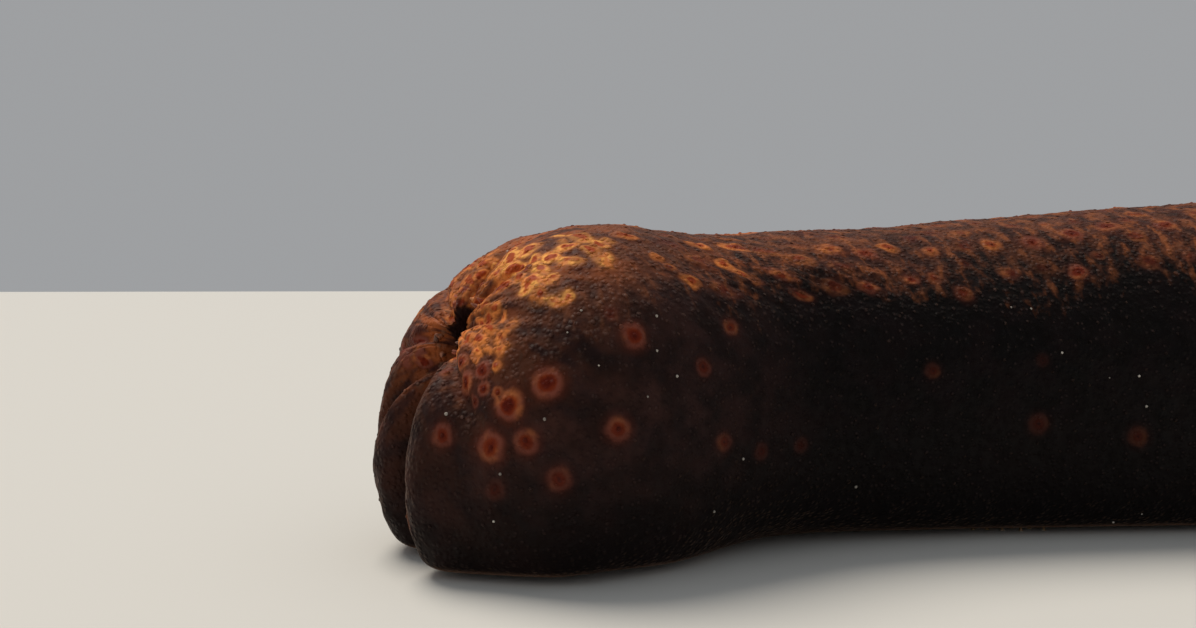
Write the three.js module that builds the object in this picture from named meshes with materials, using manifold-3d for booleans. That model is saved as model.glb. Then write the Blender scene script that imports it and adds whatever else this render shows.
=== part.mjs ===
// A leopard sea cucumber (Bohadschia argus), life size, resting on the flat sole of its body.
// Millimetres, +Z up. The body runs along X, with the anus end at -X and the mouth end at +X.
// The origin is on the floor, under the middle of the bounding box.
import * as THREE from "three";
import { mergeVertices } from "three/addons/utils/BufferGeometryUtils.js";
import Module from "manifold-3d";

const wasm = await Module();
wasm.setup();

const DEG = Math.PI / 180;

// Driving dimensions

// Plan of the spine, from the middle of the rear end to the middle of the front end: a gentle C.
const SPINE = new THREE.CubicBezierCurve(
  new THREE.Vector2(-131.85, -13.15),
  new THREE.Vector2(-73.45, 20.35),
  new THREE.Vector2(40.45, 19.15),
  new THREE.Vector2(117.65, -13.05),
);

// Sizes of the trunk at even steps along the spine, rear to front.
const TRUNK_HEIGHTS = [76.5, 75.3, 78, 82.5, 84.5, 77];
const TRUNK_HALF_WIDTHS = [44.4, 43.5, 45.7, 48.3, 47.9, 41.8];
// How far the round section would reach below the floor if the sole weren't flat: more is a wider sole.
const SOLE_DIPS = [17, 6, 11, 15, 14, 12];
const BELT_SHARE = 0.42; // the widest level, as a share of the height
const SOLE_ROLL = 4.5; // half the height over which the flank rolls under to the flat sole
const SECTION_POWER = 2.25; // 2 is an ellipse, and more is boxier

const REAR_LENGTH = 47; // from the spine's end to the rear pole
const FRONT_LENGTH = 46;

// Each end closes round a pole: the anus looks up, back and a little to +Y, the mouth forward and down.
const ANUS_AIM = { tilt: 33 * DEG, aside: 6 * DEG };
const MOUTH_AIM = { tilt: -20 * DEG, aside: 0 };
const ANUS_RIM = { up: 10, side: 5.3 };
const MOUTH_RIM = { up: 15.5, side: 15.5 };

// Grooves that pull the skin in to the anus. Turn is measured round the anus from straight up,
// and positive turns go to the +Y side. Reach is how far over the end a groove runs.
const ANUS_GROOVES = [
  { turn: 178 * DEG, depth: 11.5, halfWidth: 5.0, reach: 108 * DEG },
  { turn: 146 * DEG, depth: 3.9, halfWidth: 2.7, reach: 66 * DEG },
  { turn: 108 * DEG, depth: 2.6, halfWidth: 2.2, reach: 56 * DEG },
  { turn: 58 * DEG, depth: 2.2, halfWidth: 2.1, reach: 50 * DEG },
  { turn: 4 * DEG, depth: 3.2, halfWidth: 2.3, reach: 44 * DEG },
  { turn: -36 * DEG, depth: 1.8, halfWidth: 2.0, reach: 46 * DEG },
  { turn: -78 * DEG, depth: 1.8, halfWidth: 2.1, reach: 44 * DEG },
  { turn: -128 * DEG, depth: 2.6, halfWidth: 2.5, reach: 56 * DEG },
];
const GROOVE_FULL = 0.45; // a groove keeps its full depth over this share of its reach
const ANUS_FUNNEL = { depth: 10, spread: 40 * DEG };
// The cheeks on each side of the cleft. Offset is the distance from the cleft, more on the -Y side.
const CHEEKS = [
  { offset: 13, rise: 4.4, halfWidth: 9 },
  { offset: -14, rise: 1.4, halfWidth: 9 },
];
const CHEEK_SPAN = { top: 12 * DEG, full: 34 * DEG, fade: 62 * DEG, bottom: 104 * DEG };

const MOUTH_FUNNEL = { depth: 2, spread: 40 * DEG };
const COLLAR = { rise: 2.3, radius: 20.5, halfWidth: 4 };
const MOUTH_GROOVES = Array.from({ length: 10 }, (_, i) => ({
  turn: (i + 0.5) * 36 * DEG,
  depth: 1.3,
  halfWidth: 2.2,
  reach: 44 * DEG,
}));

// Inside each opening: how narrow the passage is as a share of the rim, and how deep it is there.
const ANUS_PASSAGE = [
  [0.9, 0.9],
  [0.78, 2.8],
  [0.8, 8],
  [0.86, 13],
  [0.6, 17.5],
];
const ANUS_DEPTH = 19;
const MOUTH_PASSAGE = [
  [0.97, 1.1],
  [0.98, 4],
  [1.0, 7.5],
  [0.26, 8.1],
  [0.2, 10.5],
];
const MOUTH_DEPTH = 12;
const ORAL_DISC_DEPTH = 7.5;
const EVEN_DEPTH = 6; // how deep in a passage the ups and downs of its rim have evened out

// How the mesh is stepped
const COLUMNS = 48;
const COLUMN_BIAS = 0.3; // packs the columns closer under the body, where the cleft runs
const TRUNK_STEPS = 11;
const CAP_STEPS = 11;
const PLUG_SIDES = 24;
const PLUG_LENGTH = 120; // well out of the body
const SAME_POINT = 1e-4; // vertices nearer than this are one

// Where the body is parted
const PART_GAP = 0.3;
const SOLE_LEVEL = 6;
const LENGTH_CUTS = [0.0, 0.34, 0.67, 1.0]; // along the spine
const ANAL_RIM = { radius: 17, depth: 27 };
const ORAL_COLLAR = { radius: 25, depth: 17 };
const ORAL_DISC = { radius: 13.7, depth: 27 };

// The crown of shield-shaped tentacles, in two rows
const TENTACLES = 20;
const TENTACLE = {
  sides: 10,
  // The stalk's radius at each share of its way
  stalk: [
    [0, 1.9],
    [0.45, 1.6],
    [0.82, 2.08],
  ],
  shield: 4.1,
  // The shield's steps: how far beyond the stalk, and the share of its radius
  shieldSteps: [
    [-0.5, 1],
    [0.8, 0.94],
  ],
  shieldTop: 1.9,
  lobe: 0.2, // how deeply the shield's edge is notched
  straight: 0.8, // share of the rise before the stalk bends
  inner: { ring: 8.4, spread: 16.2, rise: 22, fan: 0, push: 0.6 },
  outer: { ring: 11.3, spread: 22.5, rise: 15.5, fan: 0.02, push: -0.05 },
};

// Small maths

const smooth = (x) => {
  const t = Math.min(Math.max(x, 0), 1);
  return t * t * (3 - 2 * t);
};
const bell = (x) => Math.exp(-x * x);
const turnBetween = (a, b) => Math.atan2(Math.sin(a - b), Math.cos(a - b));

// Catmull-Rom through evenly spaced values, t from 0 to 1.
function along(values, t) {
  const x = t * (values.length - 1);
  const i = Math.min(Math.floor(x), values.length - 2);
  const f = x - i;
  const [a, b, c, d] = [i - 1, i, i + 1, i + 2].map(
    (k) => values[Math.min(Math.max(k, 0), values.length - 1)],
  );
  return (
    b +
    0.5 * f * (c - a + f * (2 * a - 5 * b + 4 * c - d + f * (3 * (b - c) + d - a)))
  );
}

// The flank rolls into a sole that is truly flat at z = 0.
function rollUnder(point) {
  const z = point.z;
  if (z < -SOLE_ROLL) point.z = 0;
  else if (z < SOLE_ROLL) point.z = (z + SOLE_ROLL) ** 2 / (4 * SOLE_ROLL);
  return point;
}

// Columns run round the body from the top, down its -Y side first.
const columnAngle = (j) => {
  const u = (j / COLUMNS) * 2 * Math.PI;
  return -(u + COLUMN_BIAS * Math.sin(u));
};

// The body's surface

// The section at t along the spine: its centre, its axes and its sizes.
function station(t) {
  const at = SPINE.getPoint(t);
  const ahead = SPINE.getTangent(t);
  const height = along(TRUNK_HEIGHTS, t);
  const belt = BELT_SHARE * height;
  return {
    centre: new THREE.Vector3(at.x, at.y, belt),
    forward: new THREE.Vector3(ahead.x, ahead.y, 0),
    side: new THREE.Vector3(-ahead.y, ahead.x, 0),
    up: new THREE.Vector3(0, 0, 1),
    halfWidth: along(TRUNK_HALF_WIDTHS, t),
    above: height - belt,
    below: belt + along(SOLE_DIPS, t),
  };
}

const reachOf = (s, out, side, up, length) => {
  const height = up > 0 ? s.above : s.below;
  const sum =
    Math.abs(out / length) ** SECTION_POWER +
    Math.abs(side / s.halfWidth) ** SECTION_POWER +
    Math.abs(up / height) ** SECTION_POWER;
  return sum ** (-1 / SECTION_POWER);
};

function trunkPoint(t, angle) {
  const s = station(t);
  const [y, z] = [Math.sin(angle), Math.cos(angle)];
  const r = reachOf(s, 0, y, z, 1);
  return rollUnder(
    s.centre.clone().addScaledVector(s.side, r * y).addScaledVector(s.up, r * z),
  );
}

function grooves(list, fromPole, turn, r) {
  let pull = 0;
  for (const g of list) {
    const across = r * Math.sin(fromPole) * turnBetween(turn, g.turn);
    const full = GROOVE_FULL * g.reach;
    const fade = 1 - smooth((fromPole - full) / (g.reach - full));
    const facing = Math.cos(turnBetween(turn, g.turn)) > 0 ? 1 : 0;
    pull += facing * fade * g.depth * bell(across / g.halfWidth);
  }
  return pull;
}

function anusShape(fromPole, turn, r) {
  const across = r * Math.sin(fromPole) * turnBetween(turn, ANUS_GROOVES[0].turn);
  const below = Math.cos(turnBetween(turn, ANUS_GROOVES[0].turn)) > 0 ? 1 : 0;
  const { top, full, fade, bottom } = CHEEK_SPAN;
  const span =
    smooth((fromPole - top) / (full - top)) *
    (1 - smooth((fromPole - fade) / (bottom - fade)));
  const cheeks = CHEEKS.reduce(
    (sum, c) => sum + c.rise * bell((across - c.offset) / c.halfWidth),
    0,
  );
  return (
    below * span * cheeks -
    ANUS_FUNNEL.depth * bell(fromPole / ANUS_FUNNEL.spread) -
    grooves(ANUS_GROOVES, fromPole, turn, r)
  );
}

function mouthShape(fromPole, turn, r) {
  const away = r * Math.sin(fromPole);
  return (
    COLLAR.rise * bell((away - COLLAR.radius) / COLLAR.halfWidth) -
    MOUTH_FUNNEL.depth * bell(fromPole / MOUTH_FUNNEL.spread) -
    grooves(MOUTH_GROOVES, fromPole, turn, r)
  );
}

// One rounded end of the body. Its columns run from the trunk's section over to the rim of the opening.
function makeEnd(t, sign, length, aim, rim, shape, passage, depth) {
  const s = station(t);
  const out = s.forward.clone().multiplyScalar(sign);
  const { tilt, aside } = aim;
  const pole = new THREE.Vector3()
    .addScaledVector(out, Math.cos(tilt) * Math.cos(aside))
    .addScaledVector(s.side, Math.cos(tilt) * Math.sin(aside))
    .addScaledVector(s.up, Math.sin(tilt));
  const poleUp = s.up.clone().addScaledVector(pole, -Math.sin(tilt)).normalize();
  const poleSide = new THREE.Vector3().crossVectors(poleUp, pole).multiplyScalar(sign);

  function surface(angle, share) {
    const start = s.side
      .clone()
      .multiplyScalar(Math.sin(angle))
      .addScaledVector(s.up, Math.cos(angle));
    const whole = start.angleTo(pole);
    const tangent = start
      .clone()
      .addScaledVector(pole, -start.dot(pole))
      .normalize();
    const turn = Math.atan2(tangent.dot(poleSide), tangent.dot(poleUp));
    const rimReach = 1 / Math.hypot(Math.cos(turn) / rim.up, Math.sin(turn) / rim.side);
    const poleReach = reachOf(s, Math.cos(tilt), 0, Math.sin(tilt), length);
    const atRim = Math.asin(rimReach / poleReach);
    const fromPole = whole + share * (atRim - whole);
    const way = pole
      .clone()
      .multiplyScalar(Math.cos(fromPole))
      .addScaledVector(tangent, Math.sin(fromPole));
    const r = reachOf(s, way.dot(out), way.dot(s.side), way.dot(s.up), length);
    return rollUnder(
      s.centre.clone().addScaledVector(way, r + shape(fromPole, turn, r)),
    );
  }

  const angles = Array.from({ length: COLUMNS }, (_, j) => columnAngle(j));
  const cap = [];
  for (let k = 1; k <= CAP_STEPS; k++)
    cap.push(angles.map((angle) => surface(angle, k / CAP_STEPS)));
  const rimLoop = cap.at(-1);
  const heights = rimLoop.map((p) => p.clone().sub(s.centre).dot(pole));
  const level = heights.reduce((a, b) => a + b, 0) / COLUMNS;
  const inside = passage.map(([narrow, deep]) =>
    rimLoop.map((p, j) => {
      const even = smooth(deep / EVEN_DEPTH);
      const height = heights[j] + even * (level - heights[j]) - deep;
      const axisPoint = s.centre.clone().addScaledVector(pole, heights[j]);
      return p
        .clone()
        .sub(axisPoint)
        .multiplyScalar(narrow)
        .add(s.centre)
        .addScaledVector(pole, height);
    }),
  );
  const tip = s.centre.clone().addScaledVector(pole, level - depth);
  const rimCentre = s.centre.clone().addScaledVector(pole, level);
  return { loops: [...cap, ...inside], tip, pole, poleUp, rimCentre };
}

// A closed mesh through a row of loops, with a point at each end.
function loft(firstTip, loops, lastTip) {
  const n = loops[0].length;
  const points = [firstTip, ...loops.flat(), lastTip];
  const last = points.length - 1;
  const faces = [];
  const at = (i, j) => 1 + i * n + ((j + n) % n);
  for (let j = 0; j < n; j++) {
    faces.push([0, at(0, j + 1), at(0, j)]);
    faces.push([last, at(loops.length - 1, j), at(loops.length - 1, j + 1)]);
    for (let i = 0; i + 1 < loops.length; i++) {
      faces.push([at(i, j), at(i, j + 1), at(i + 1, j + 1)]);
      faces.push([at(i, j), at(i + 1, j + 1), at(i + 1, j)]);
    }
  }
  const geometry = new THREE.BufferGeometry();
  geometry.setAttribute(
    "position",
    new THREE.Float32BufferAttribute(points.flatMap((p) => p.toArray()), 3),
  );
  geometry.setIndex(faces.flat());
  return geometry;
}

// Solids and cuts

function solidOf(geometry) {
  const bare = geometry.clone();
  bare.deleteAttribute("normal");
  bare.deleteAttribute("uv");
  const merged = mergeVertices(bare, SAME_POINT);
  return new wasm.Manifold(
    new wasm.Mesh({
      numProp: 3,
      vertProperties: new Float32Array(merged.attributes.position.array),
      triVerts: new Uint32Array(merged.index.array),
    }),
  );
}

function geometryOf(solid) {
  const { vertProperties, triVerts } = solid.getMesh();
  const geometry = new THREE.BufferGeometry();
  geometry.setAttribute("position", new THREE.Float32BufferAttribute(vertProperties, 3));
  geometry.setIndex(Array.from(triVerts));
  return geometry;
}

const FAR = 900; // larger than the body, for cutting blocks

// Everything on the far side of a plane: a block that starts at the point and lies along the direction.
function blockBeyond(point, direction) {
  const block = new THREE.BoxGeometry(FAR, FAR, FAR).translate(0, 0, FAR / 2);
  const turn = new THREE.Quaternion().setFromUnitVectors(
    new THREE.Vector3(0, 0, 1),
    direction,
  );
  return solidOf(block.applyQuaternion(turn).translate(...point.toArray()));
}

// A round plug along an end's pole, from well outside down to a depth under the rim.
function plug(end, radius, depth) {
  const cylinder = new THREE.CylinderGeometry(radius, radius, PLUG_LENGTH, PLUG_SIDES)
    .rotateX(Math.PI / 2)
    .translate(0, 0, PLUG_LENGTH / 2 - depth);
  const turn = new THREE.Quaternion().setFromUnitVectors(
    new THREE.Vector3(0, 0, 1),
    end.pole,
  );
  return solidOf(
    cylinder.applyQuaternion(turn).translate(...end.rimCentre.toArray()),
  );
}

// The whole body

const rear = makeEnd(
  0, -1, REAR_LENGTH, ANUS_AIM, ANUS_RIM, anusShape, ANUS_PASSAGE, ANUS_DEPTH,
);
const front = makeEnd(
  1, 1, FRONT_LENGTH, MOUTH_AIM, MOUTH_RIM, mouthShape, MOUTH_PASSAGE, MOUTH_DEPTH,
);
const trunkLoops = [];
for (let i = 0; i <= TRUNK_STEPS; i++)
  trunkLoops.push(
    Array.from({ length: COLUMNS }, (_, j) => trunkPoint(i / TRUNK_STEPS, columnAngle(j))),
  );
const body = solidOf(
  loft(rear.tip, [...rear.loops.toReversed(), ...trunkLoops, ...front.loops], front.tip),
);

const partedBody = new Map();

function cutBody() {
  const analRim = body.intersect(plug(rear, ANAL_RIM.radius, ANAL_RIM.depth));
  const collarAndDisc = body.intersect(plug(front, ORAL_COLLAR.radius, ORAL_COLLAR.depth));
  const oralDisc = collarAndDisc.intersect(plug(front, ORAL_DISC.radius, ORAL_DISC.depth));
  partedBody.set("anal_rim", analRim);
  partedBody.set("oral_disc", oralDisc);
  partedBody.set(
    "oral_collar",
    collarAndDisc.subtract(plug(front, ORAL_DISC.radius + PART_GAP, ORAL_DISC.depth)),
  );

  const rest = body
    .subtract(plug(rear, ANAL_RIM.radius + PART_GAP, ANAL_RIM.depth + PART_GAP))
    .subtract(plug(front, ORAL_COLLAR.radius + PART_GAP, ORAL_COLLAR.depth + PART_GAP));
  const up = new THREE.Vector3(0, 0, 1);
  const level = (z) => new THREE.Vector3(0, 0, z);
  const back = rest.intersect(blockBeyond(level(SOLE_LEVEL + PART_GAP / 2), up));
  const sole = rest.intersect(
    blockBeyond(level(SOLE_LEVEL - PART_GAP / 2), up.clone().negate()),
  );

  // The stretch of a solid between two cuts along the spine; a cut left out keeps the end.
  const stretch = (solid, from, to) => {
    let kept = solid;
    if (from !== null) {
      const s = station(from);
      const at = s.centre.clone().addScaledVector(s.forward, PART_GAP / 2);
      kept = kept.intersect(blockBeyond(at, s.forward));
    }
    if (to !== null) {
      const s = station(to);
      const at = s.centre.clone().addScaledVector(s.forward, -PART_GAP / 2);
      kept = kept.intersect(blockBeyond(at, s.forward.clone().negate()));
    }
    return kept;
  };
  const [a, b, c, d] = LENGTH_CUTS;
  partedBody.set("rear_end", stretch(back, null, a));
  partedBody.set("trunk_rear", stretch(back, a, b));
  partedBody.set("trunk_middle", stretch(back, b, c));
  partedBody.set("trunk_front", stretch(back, c, d));
  partedBody.set("oral_end", stretch(back, d, null));
  partedBody.set("sole_rear", stretch(sole, null, b));
  partedBody.set("sole_middle", stretch(sole, b, c));
  partedBody.set("sole_front", stretch(sole, c, null));
}

cutBody();

// The crown of tentacles, in a frame of its own: X to the side, Y up the face, Z out of the mouth

const crown = new THREE.Group();
crown.position.copy(front.rimCentre).addScaledVector(front.pole, -ORAL_DISC_DEPTH);
crown.quaternion.setFromRotationMatrix(
  new THREE.Matrix4().makeBasis(
    new THREE.Vector3().crossVectors(front.poleUp, front.pole),
    front.poleUp,
    front.pole,
  ),
);

// Each tentacle leaves the disc straight, bends outwards and ends in a lobed shield.
function tentacleGeometry(turn, row) {
  const outward = new THREE.Vector3(Math.sin(turn), Math.cos(turn), 0);
  const out = new THREE.Vector3(0, 0, 1);
  const root = outward.clone().multiplyScalar(row.ring).setZ(PART_GAP);
  const tip = outward.clone().multiplyScalar(row.spread).setZ(row.rise);

  // The lowest tentacles fan out on the floor instead of reaching into it.
  const floorUp = new THREE.Vector3(0, 0, 1).applyQuaternion(crown.quaternion.clone().invert());
  const missing = TENTACLE.shield - tip.dot(floorUp) - crown.position.z;
  const way = floorUp.clone().addScaledVector(out, row.push);
  const lift = Math.max(0, missing) / way.dot(floorUp);
  tip.addScaledVector(way, lift);
  tip.x *= 1 + row.fan * lift;
  const bend = root.clone().addScaledVector(out, TENTACLE.straight * tip.z);

  const path = new THREE.QuadraticBezierCurve3(root, bend, tip);
  const across = new THREE.Vector3().crossVectors(out, outward).normalize();
  const section = (at, way, radius, lobe) => {
    const other = new THREE.Vector3().crossVectors(way, across).normalize();
    return Array.from({ length: TENTACLE.sides }, (_, k) => {
      const a = (k / TENTACLE.sides) * 2 * Math.PI;
      const r = radius * (k % 2 ? 1 - lobe : 1);
      return at
        .clone()
        .addScaledVector(across, r * Math.cos(a))
        .addScaledVector(other, r * Math.sin(a));
    });
  };
  const stalk = TENTACLE.stalk.map(([t, radius]) =>
    section(path.getPoint(t), path.getTangent(t), radius, 0),
  );
  const end = path.getTangent(1);
  const beyond = (d) => tip.clone().addScaledVector(end, d);
  const shield = TENTACLE.shieldSteps.map(([d, share]) =>
    section(beyond(d), end, share * TENTACLE.shield, TENTACLE.lobe),
  );
  return loft(root, [...stalk, ...shield], beyond(TENTACLE.shieldTop));
}

const SKIN = { color: 0x2a1512, roughness: 0.62, metalness: 0 };
const SOLE_SKIN = { color: 0x7a5a44, roughness: 0.7, metalness: 0 };
const LIP_SKIN = { color: 0x5a2a1a, roughness: 0.6, metalness: 0 };
const TENTACLE_SKIN = { color: 0x3a2a22, roughness: 0.55, metalness: 0 };
const finishOf = (name) => {
  if (name.startsWith("sole")) return SOLE_SKIN;
  if (name === "anal_rim" || name === "oral_collar") return LIP_SKIN;
  if (name === "oral_disc") return TENTACLE_SKIN;
  return SKIN;
};

const seaCucumber = new THREE.Group();
for (const [name, solid] of partedBody) {
  const mesh = new THREE.Mesh(
    geometryOf(solid),
    new THREE.MeshStandardMaterial(finishOf(name)),
  );
  mesh.name = name;
  seaCucumber.add(mesh);
}
for (let i = 0; i < TENTACLES; i++) {
  const row = i % 2 ? TENTACLE.outer : TENTACLE.inner;
  const mesh = new THREE.Mesh(
    tentacleGeometry(((i + 0.5) / TENTACLES) * 2 * Math.PI, row),
    new THREE.MeshStandardMaterial(TENTACLE_SKIN),
  );
  mesh.name = "tentacle_" + String(i + 1).padStart(2, "0");
  crown.add(mesh);
}
seaCucumber.add(crown);

export default seaCucumber;
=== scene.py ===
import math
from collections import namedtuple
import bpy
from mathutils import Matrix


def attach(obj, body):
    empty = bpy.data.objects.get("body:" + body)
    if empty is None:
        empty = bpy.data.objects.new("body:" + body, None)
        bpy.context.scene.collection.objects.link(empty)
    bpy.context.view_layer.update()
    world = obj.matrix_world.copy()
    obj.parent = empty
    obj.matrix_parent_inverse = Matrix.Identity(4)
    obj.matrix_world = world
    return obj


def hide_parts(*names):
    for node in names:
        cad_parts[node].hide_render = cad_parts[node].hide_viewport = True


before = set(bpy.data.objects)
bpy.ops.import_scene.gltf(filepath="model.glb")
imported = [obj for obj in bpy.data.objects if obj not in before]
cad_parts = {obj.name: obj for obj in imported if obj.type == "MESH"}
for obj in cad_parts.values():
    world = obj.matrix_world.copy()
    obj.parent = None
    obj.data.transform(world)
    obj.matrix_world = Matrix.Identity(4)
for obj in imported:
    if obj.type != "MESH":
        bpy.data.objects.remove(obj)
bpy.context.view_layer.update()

# A leopard sea cucumber, life size, lying on its sole. Lengths are in millimetres until a mesh is made.
# The body's surface follows the same sizes and formulas as its solids, much more finely.
from types import SimpleNamespace

import bpy
import numpy as np

MM = 0.001
UP = np.array([0.0, 0.0, 1.0])

# Driving sizes of the body

# The spine's curve from above: its two ends, and between them the two points that bend it
SPINE = np.array([[-131.85, -13.15], [-73.45, 20.35], [40.45, 19.15], [117.65, -13.05]])
# Sizes at even steps along the spine, from the rear
TRUNK_HEIGHTS = [76.5, 75.3, 78, 82.5, 84.5, 77]
TRUNK_HALF_WIDTHS = [44.4, 43.5, 45.7, 48.3, 47.9, 41.8]
SOLE_DIPS = [17, 6, 11, 15, 14, 12]  # how far a section that wasn't flattened would dip under the floor
BELT_SHARE = 0.42  # the body is widest at this share of its height
SECTION_POWER = 2.25  # 2 is an ellipse, more is squarer
SOLE_ROLL = 4.5  # the flank rolls under from about this height
SOLE_LIFT = 1.0  # the tube feet hold the skin this far off the floor
LIFT_FADE = 3.0  # and over about this height the flank loses that lift

REAR_LENGTH = 47
FRONT_LENGTH = 46
ANUS_AIM = {"tilt": math.radians(33), "aside": math.radians(6)}
MOUTH_AIM = {"tilt": math.radians(-20), "aside": 0}
ANUS_RIM = {"up": 10, "side": 5.3}
MOUTH_RIM = {"up": 15.5, "side": 15.5}
ANUS_FUNNEL = {"depth": 10, "spread": math.radians(40)}
MOUTH_FUNNEL = {"depth": 2, "spread": math.radians(40)}

# Folds that run in to the anus: turn round it in degrees from straight up, depth, half width, reach.
ANUS_FOLDS = [
    (178, 11.5, 5.0, 108),
    (146, 3.9, 2.7, 66),
    (108, 2.6, 2.2, 56),
    (58, 2.2, 2.1, 50),
    (4, 3.2, 2.3, 44),
    (-36, 1.8, 2.0, 46),
    (-78, 1.8, 2.1, 44),
    (-128, 2.6, 2.5, 56),
]
CLEFT_TURN = math.radians(ANUS_FOLDS[0][0])
CHEEKS = [(13, 4.4, 9), (-14, 1.4, 9)]  # offset from the cleft, rise, half width
CHEEK_SPAN = {"top": 12, "full": 34, "fade": 62, "bottom": 104}  # degrees from the anus
MOUTH_FOLDS = [((i + 0.5) * 36, 1.3, 2.2, 44) for i in range(10)]
FOLD_FULL = 0.45  # share of its reach over which a fold keeps its full depth
COLLAR = {"rise": 2.3, "radius": 20.5, "half_width": 4}

# Thin radial wrinkles between the folds: how many, how deep, and how far out they run.
PUCKERS = {
    "anus": {"count": 31, "depth": 0.8, "reach": math.radians(46), "seed": 11},
    "mouth": {"count": 40, "depth": 0.45, "reach": math.radians(42), "seed": 12},
}
PUCKER_WANDER = {"round": 2.2, "outward": 1.5, "amount": 1.8}  # how quickly they stray, and how far
PUCKER_UNEVEN = 0.35  # how much their depth varies
PUCKER_THINNESS = 1.5

# The passages: share of the rim's size, and depth under it.
ANUS_PASSAGE = [(1, 0), (0.9, 0.9), (0.78, 2.8), (0.8, 8), (0.86, 13), (0.6, 17.5), (0.05, 19)]
MOUTH_PASSAGE = [(1, 0), (0.97, 1.1), (0.98, 4), (1, 7), (0.7, 7.7), (0.26, 8.1), (0.2, 10.5), (0.02, 12)]
EVEN_DEPTH = 6  # how deep in the passage the rim's ups and downs have evened out
ORAL_DISC_DEPTH = 7.5

# Fineness of the skin's mesh
COLUMNS = 420
COLUMN_BIAS = 0.12  # columns stand this much closer together under the body, and wider on top
TRUNK_ROWS = 290
END_ROWS = 88
PASSAGE_ROWS = 26
# How an end's join to the trunk is evened out: over how many rows, how much, and how soon in full
JOIN = {"half_span": 26, "strength": 0.9, "steepness": 1.6}


# Small maths

def smooth(x):
    """0 to 1, with an easy start and end."""
    t = np.clip(x, 0, 1)
    return t * t * (3 - 2 * t)


def ramp(x, low, high):
    """0 up to low, 1 from high on, and smooth between."""
    return smooth((x - low) / (high - low))


def bell(x):
    return np.exp(-np.square(x))


def turn_between(a, b):
    return np.arctan2(np.sin(a - b), np.cos(a - b))


def unit(v):
    return v / np.maximum(np.linalg.norm(v, axis=-1, keepdims=True), 1e-9)


def along(values, t):
    """A smooth curve through evenly spaced values, t from 0 to 1."""
    v = np.asarray(values, float)
    x = np.clip(t, 0, 1) * (len(v) - 1)
    i = np.minimum(x.astype(int), len(v) - 2)
    f = x - i
    if v.ndim > 1:
        f = f[..., None]
    a, b, c, d = (v[np.clip(i + k, 0, len(v) - 1)] for k in (-1, 0, 1, 2))
    return b + 0.5 * f * (c - a + f * (2 * a - 5 * b + 4 * c - d + f * (3 * (b - c) + d - a)))


NOISE_VALUES = 4096  # a power of two
CELL_PRIMES = (73856093, 19349663, 83492791)  # they spread neighbouring cells over the values


def lattice(points, seed):
    """Value noise from -1 to 1 on a unit lattice."""
    table = np.random.default_rng(seed).uniform(-1, 1, NOISE_VALUES)
    cell = np.floor(points).astype(np.int64)
    f = smooth(points - cell)
    total = 0
    for corner in np.ndindex(2, 2, 2):
        mixed = (cell + corner) * CELL_PRIMES
        key = mixed[..., 0] ^ mixed[..., 1] ^ mixed[..., 2]
        weight = np.prod(np.where(corner, f, 1 - f), axis=-1)
        total = total + weight * table[key & (NOISE_VALUES - 1)]
    return total


def rough(points, size, seed, octaves=3):
    """Layered noise whose largest lumps are about `size` mm across."""
    total = 0
    for k in range(octaves):
        total = total + lattice(points * 2**k / size, seed + k) / 2**k
    return total


# The body's surface

def spine_at(t):
    a, b, c, d = SPINE
    s = 1 - t
    at = np.outer(s**3, a) + np.outer(3 * s * s * t, b) + np.outer(3 * s * t * t, c) + np.outer(t**3, d)
    way = np.outer(s * s, b - a) + np.outer(2 * s * t, c - b) + np.outer(t * t, d - c)
    return at, unit(way)


def stations(t):
    """The sections at each t along the spine: centres, axes and sizes."""
    t = np.atleast_1d(np.asarray(t, float))
    at, way = spine_at(t)
    height = along(TRUNK_HEIGHTS, t)
    belt = BELT_SHARE * height
    flat = np.zeros(len(t))
    return SimpleNamespace(
        centre=np.column_stack([at, belt]),
        forward=np.column_stack([way, flat]),
        side=np.column_stack([-way[:, 1], way[:, 0], flat]),
        half_width=along(TRUNK_HALF_WIDTHS, t),
        above=height - belt,
        below=belt + along(SOLE_DIPS, t),
    )


def reach_of(s, out, side, up, length):
    """How far the surface is from a section's centre, in the way that out, side and up give."""
    height = np.where(up > 0, s.above, s.below)
    total = (
        np.abs(out / length) ** SECTION_POWER
        + np.abs(side / s.half_width) ** SECTION_POWER
        + np.abs(up / height) ** SECTION_POWER
    )
    return total ** (-1 / SECTION_POWER)


def roll_under(points):
    """The flank rolls into a flat sole, which stays a little off the floor."""
    z = points[..., 2]
    rolled = np.where(z < SOLE_ROLL, (z + SOLE_ROLL) ** 2 / (4 * SOLE_ROLL), z)
    rolled = np.where(z < -SOLE_ROLL, 0, rolled)
    points[..., 2] = rolled + SOLE_LIFT * np.exp(-rolled / LIFT_FADE)
    return points


def fold_pull(folds, from_pole, turn, r):
    """How deep the folds that run in to an opening draw the surface in."""
    pull = 0
    for degrees, depth, half_width, reach in folds:
        offset = turn_between(turn, math.radians(degrees))
        across = r * np.sin(from_pole) * offset
        reach = math.radians(reach)
        fade = 1 - ramp(from_pole, FOLD_FULL * reach, reach)
        pull = pull + (np.cos(offset) > 0) * fade * depth * bell(across / half_width)
    return pull


def fine_puckers(from_pole, turn, p):
    """How deep the thin wrinkles between the folds are: narrow valleys that wander a little."""
    turn = np.broadcast_to(turn, from_pole.shape)
    round_rim, outward = PUCKER_WANDER["round"], PUCKER_WANDER["outward"]
    ring = np.stack([np.cos(turn) * round_rim, np.sin(turn) * round_rim, from_pole * outward], axis=-1)
    wave = np.abs(np.sin(0.5 * p["count"] * turn + PUCKER_WANDER["amount"] * lattice(ring, p["seed"])))
    strength = 1 - PUCKER_UNEVEN + PUCKER_UNEVEN * lattice(ring * 2, p["seed"] + 1)
    return p["depth"] * strength * (1 - wave) ** PUCKER_THINNESS * (1 - smooth(from_pole / p["reach"]))


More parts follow.
